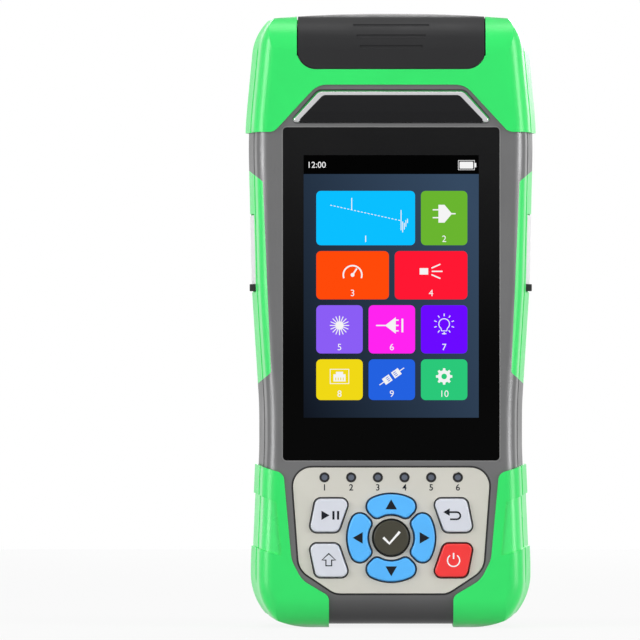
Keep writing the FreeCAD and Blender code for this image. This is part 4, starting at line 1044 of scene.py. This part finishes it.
# Name, colour, icon and width of the icon's lines in millimetres, row by row.
TILES = [
    [
        ("cyan", (0.0, 0.52, 1.0), trace_icon, 0.22),
        ("leaf", (0.14, 0.46, 0.026), event_icon, 0.42),
    ],
    [
        ("orange", (1.0, 0.065, 0.0), gauge_icon, 0.5),
        ("crimson", (1.0, 0.006, 0.03), beam_icon, 0.42),
    ],
    [
        ("violet", (0.255, 0.107, 0.91), burst_icon, 0.3),
        ("magenta", (1.0, 0.014, 0.87), loss_icon, 0.4),
        ("indigo", (0.145, 0.0, 1.0), bulb_icon, 0.28),
    ],
    [
        ("yellow", (0.87, 0.69, 0.005), socket_icon, 0.3),
        ("blue", (0.014, 0.117, 0.745), plug_icon, 0.3),
        ("mint", (0.021, 0.578, 0.19), gear_icon, 0.4),
    ],
]


def layer(count):
    """Front of a thin layer on the glass, where 1 is the lowest."""
    return GLASS - count * LAYER


def lens_frame():
    """Fine bright line round the black glass."""
    centre = (0, GLASS, (LENS_LOW.z + LENS_HIGH.z) / 2)
    piece = upright_plane(centre, LENS_HIGH.x - LENS_LOW.x + 2 * LENS_LIP,
                          LENS_HIGH.z - LENS_LOW.z + 2 * LENS_LIP)
    bpy.ops.mesh.bevel(offset=1.4 * MM, segments=6, affect="VERTICES")
    bpy.ops.mesh.inset(thickness=LENS_LIP)
    bpy.ops.mesh.delete(type="FACE")
    select_mesh()
    raise_faces(0.06 * MM)
    leave()
    face_outwards(piece)
    settle(piece, "lens_frame", frame_gray)


def dress_tile(number, name, colour, icon, wide, span, top, height):
    """Lit tile with its icon and its number."""
    slab("tile_" + name, span, (top - height, top), layer(2), LAYER, TILE_CORNER,
         lit("tile_" + name, colour))
    middle = sum(span) / 2
    centre = (middle, top - height * ICON_DOWN)
    lines, solids = icon()
    if lines:
        ribbon("icon_" + name, move(lines, centre), wide * MM, layer(3), icon_white)
    if solids:
        flat_shape("icon_solid_" + name, move(solids, centre), layer(3), icon_white)
    numeral("caption_" + name, str(number), CAPTION_TALL, (middle, top - height + CAPTION_UP),
            layer(3), icon_white)


def dress_status():
    """Bar over the tiles, with a clock and a battery."""
    slab("status_bar", (-SCREEN_HALF, SCREEN_HALF), (SCREEN_HIGH - STATUS_TALL, SCREEN_HIGH),
         layer(1), LAYER, 0, screen_black)
    numeral("clock", "12:00", CLOCK_TALL, CLOCK_PLACE, layer(2), icon_white)
    outline = box_loop(BATTERY_LEFT, BATTERY_RIGHT, BATTERY_LOW, BATTERY_HIGH)
    ribbon("battery_outline", [outline], 0.2 * MM, layer(2), icon_white)
    slab("battery_level", (BATTERY_LEFT + BATTERY_RIM, BATTERY_RIGHT - BATTERY_RIM),
         (BATTERY_LOW + BATTERY_RIM, BATTERY_HIGH - BATTERY_RIM), layer(2), LAYER, 0.2 * MM,
         icon_white)
    long, half = BATTERY_TIP
    slab("battery_tip", (BATTERY_RIGHT, BATTERY_RIGHT + long),
         (STATUS_MIDDLE - half, STATUS_MIDDLE + half), layer(2), LAYER, 0.1 * MM, icon_white)


def dress_screen():
    refined("display_lens", lens_black)
    lens_frame()
    slab("lit_screen", (-SCREEN_HALF, SCREEN_HALF), (SCREEN_LOW, SCREEN_HIGH - STATUS_TALL),
         layer(1), LAYER, 0, backdrop_material())
    top = TILES_TOP
    number = 1
    for row, height in enumerate(ROW_HEIGHTS):
        for tile, span in zip(TILES[row], tile_spans(row)):
            dress_tile(number, *tile, span, top, height)
            number += 1
        top -= height + TILE_GAP
    dress_status()


dress_screen()
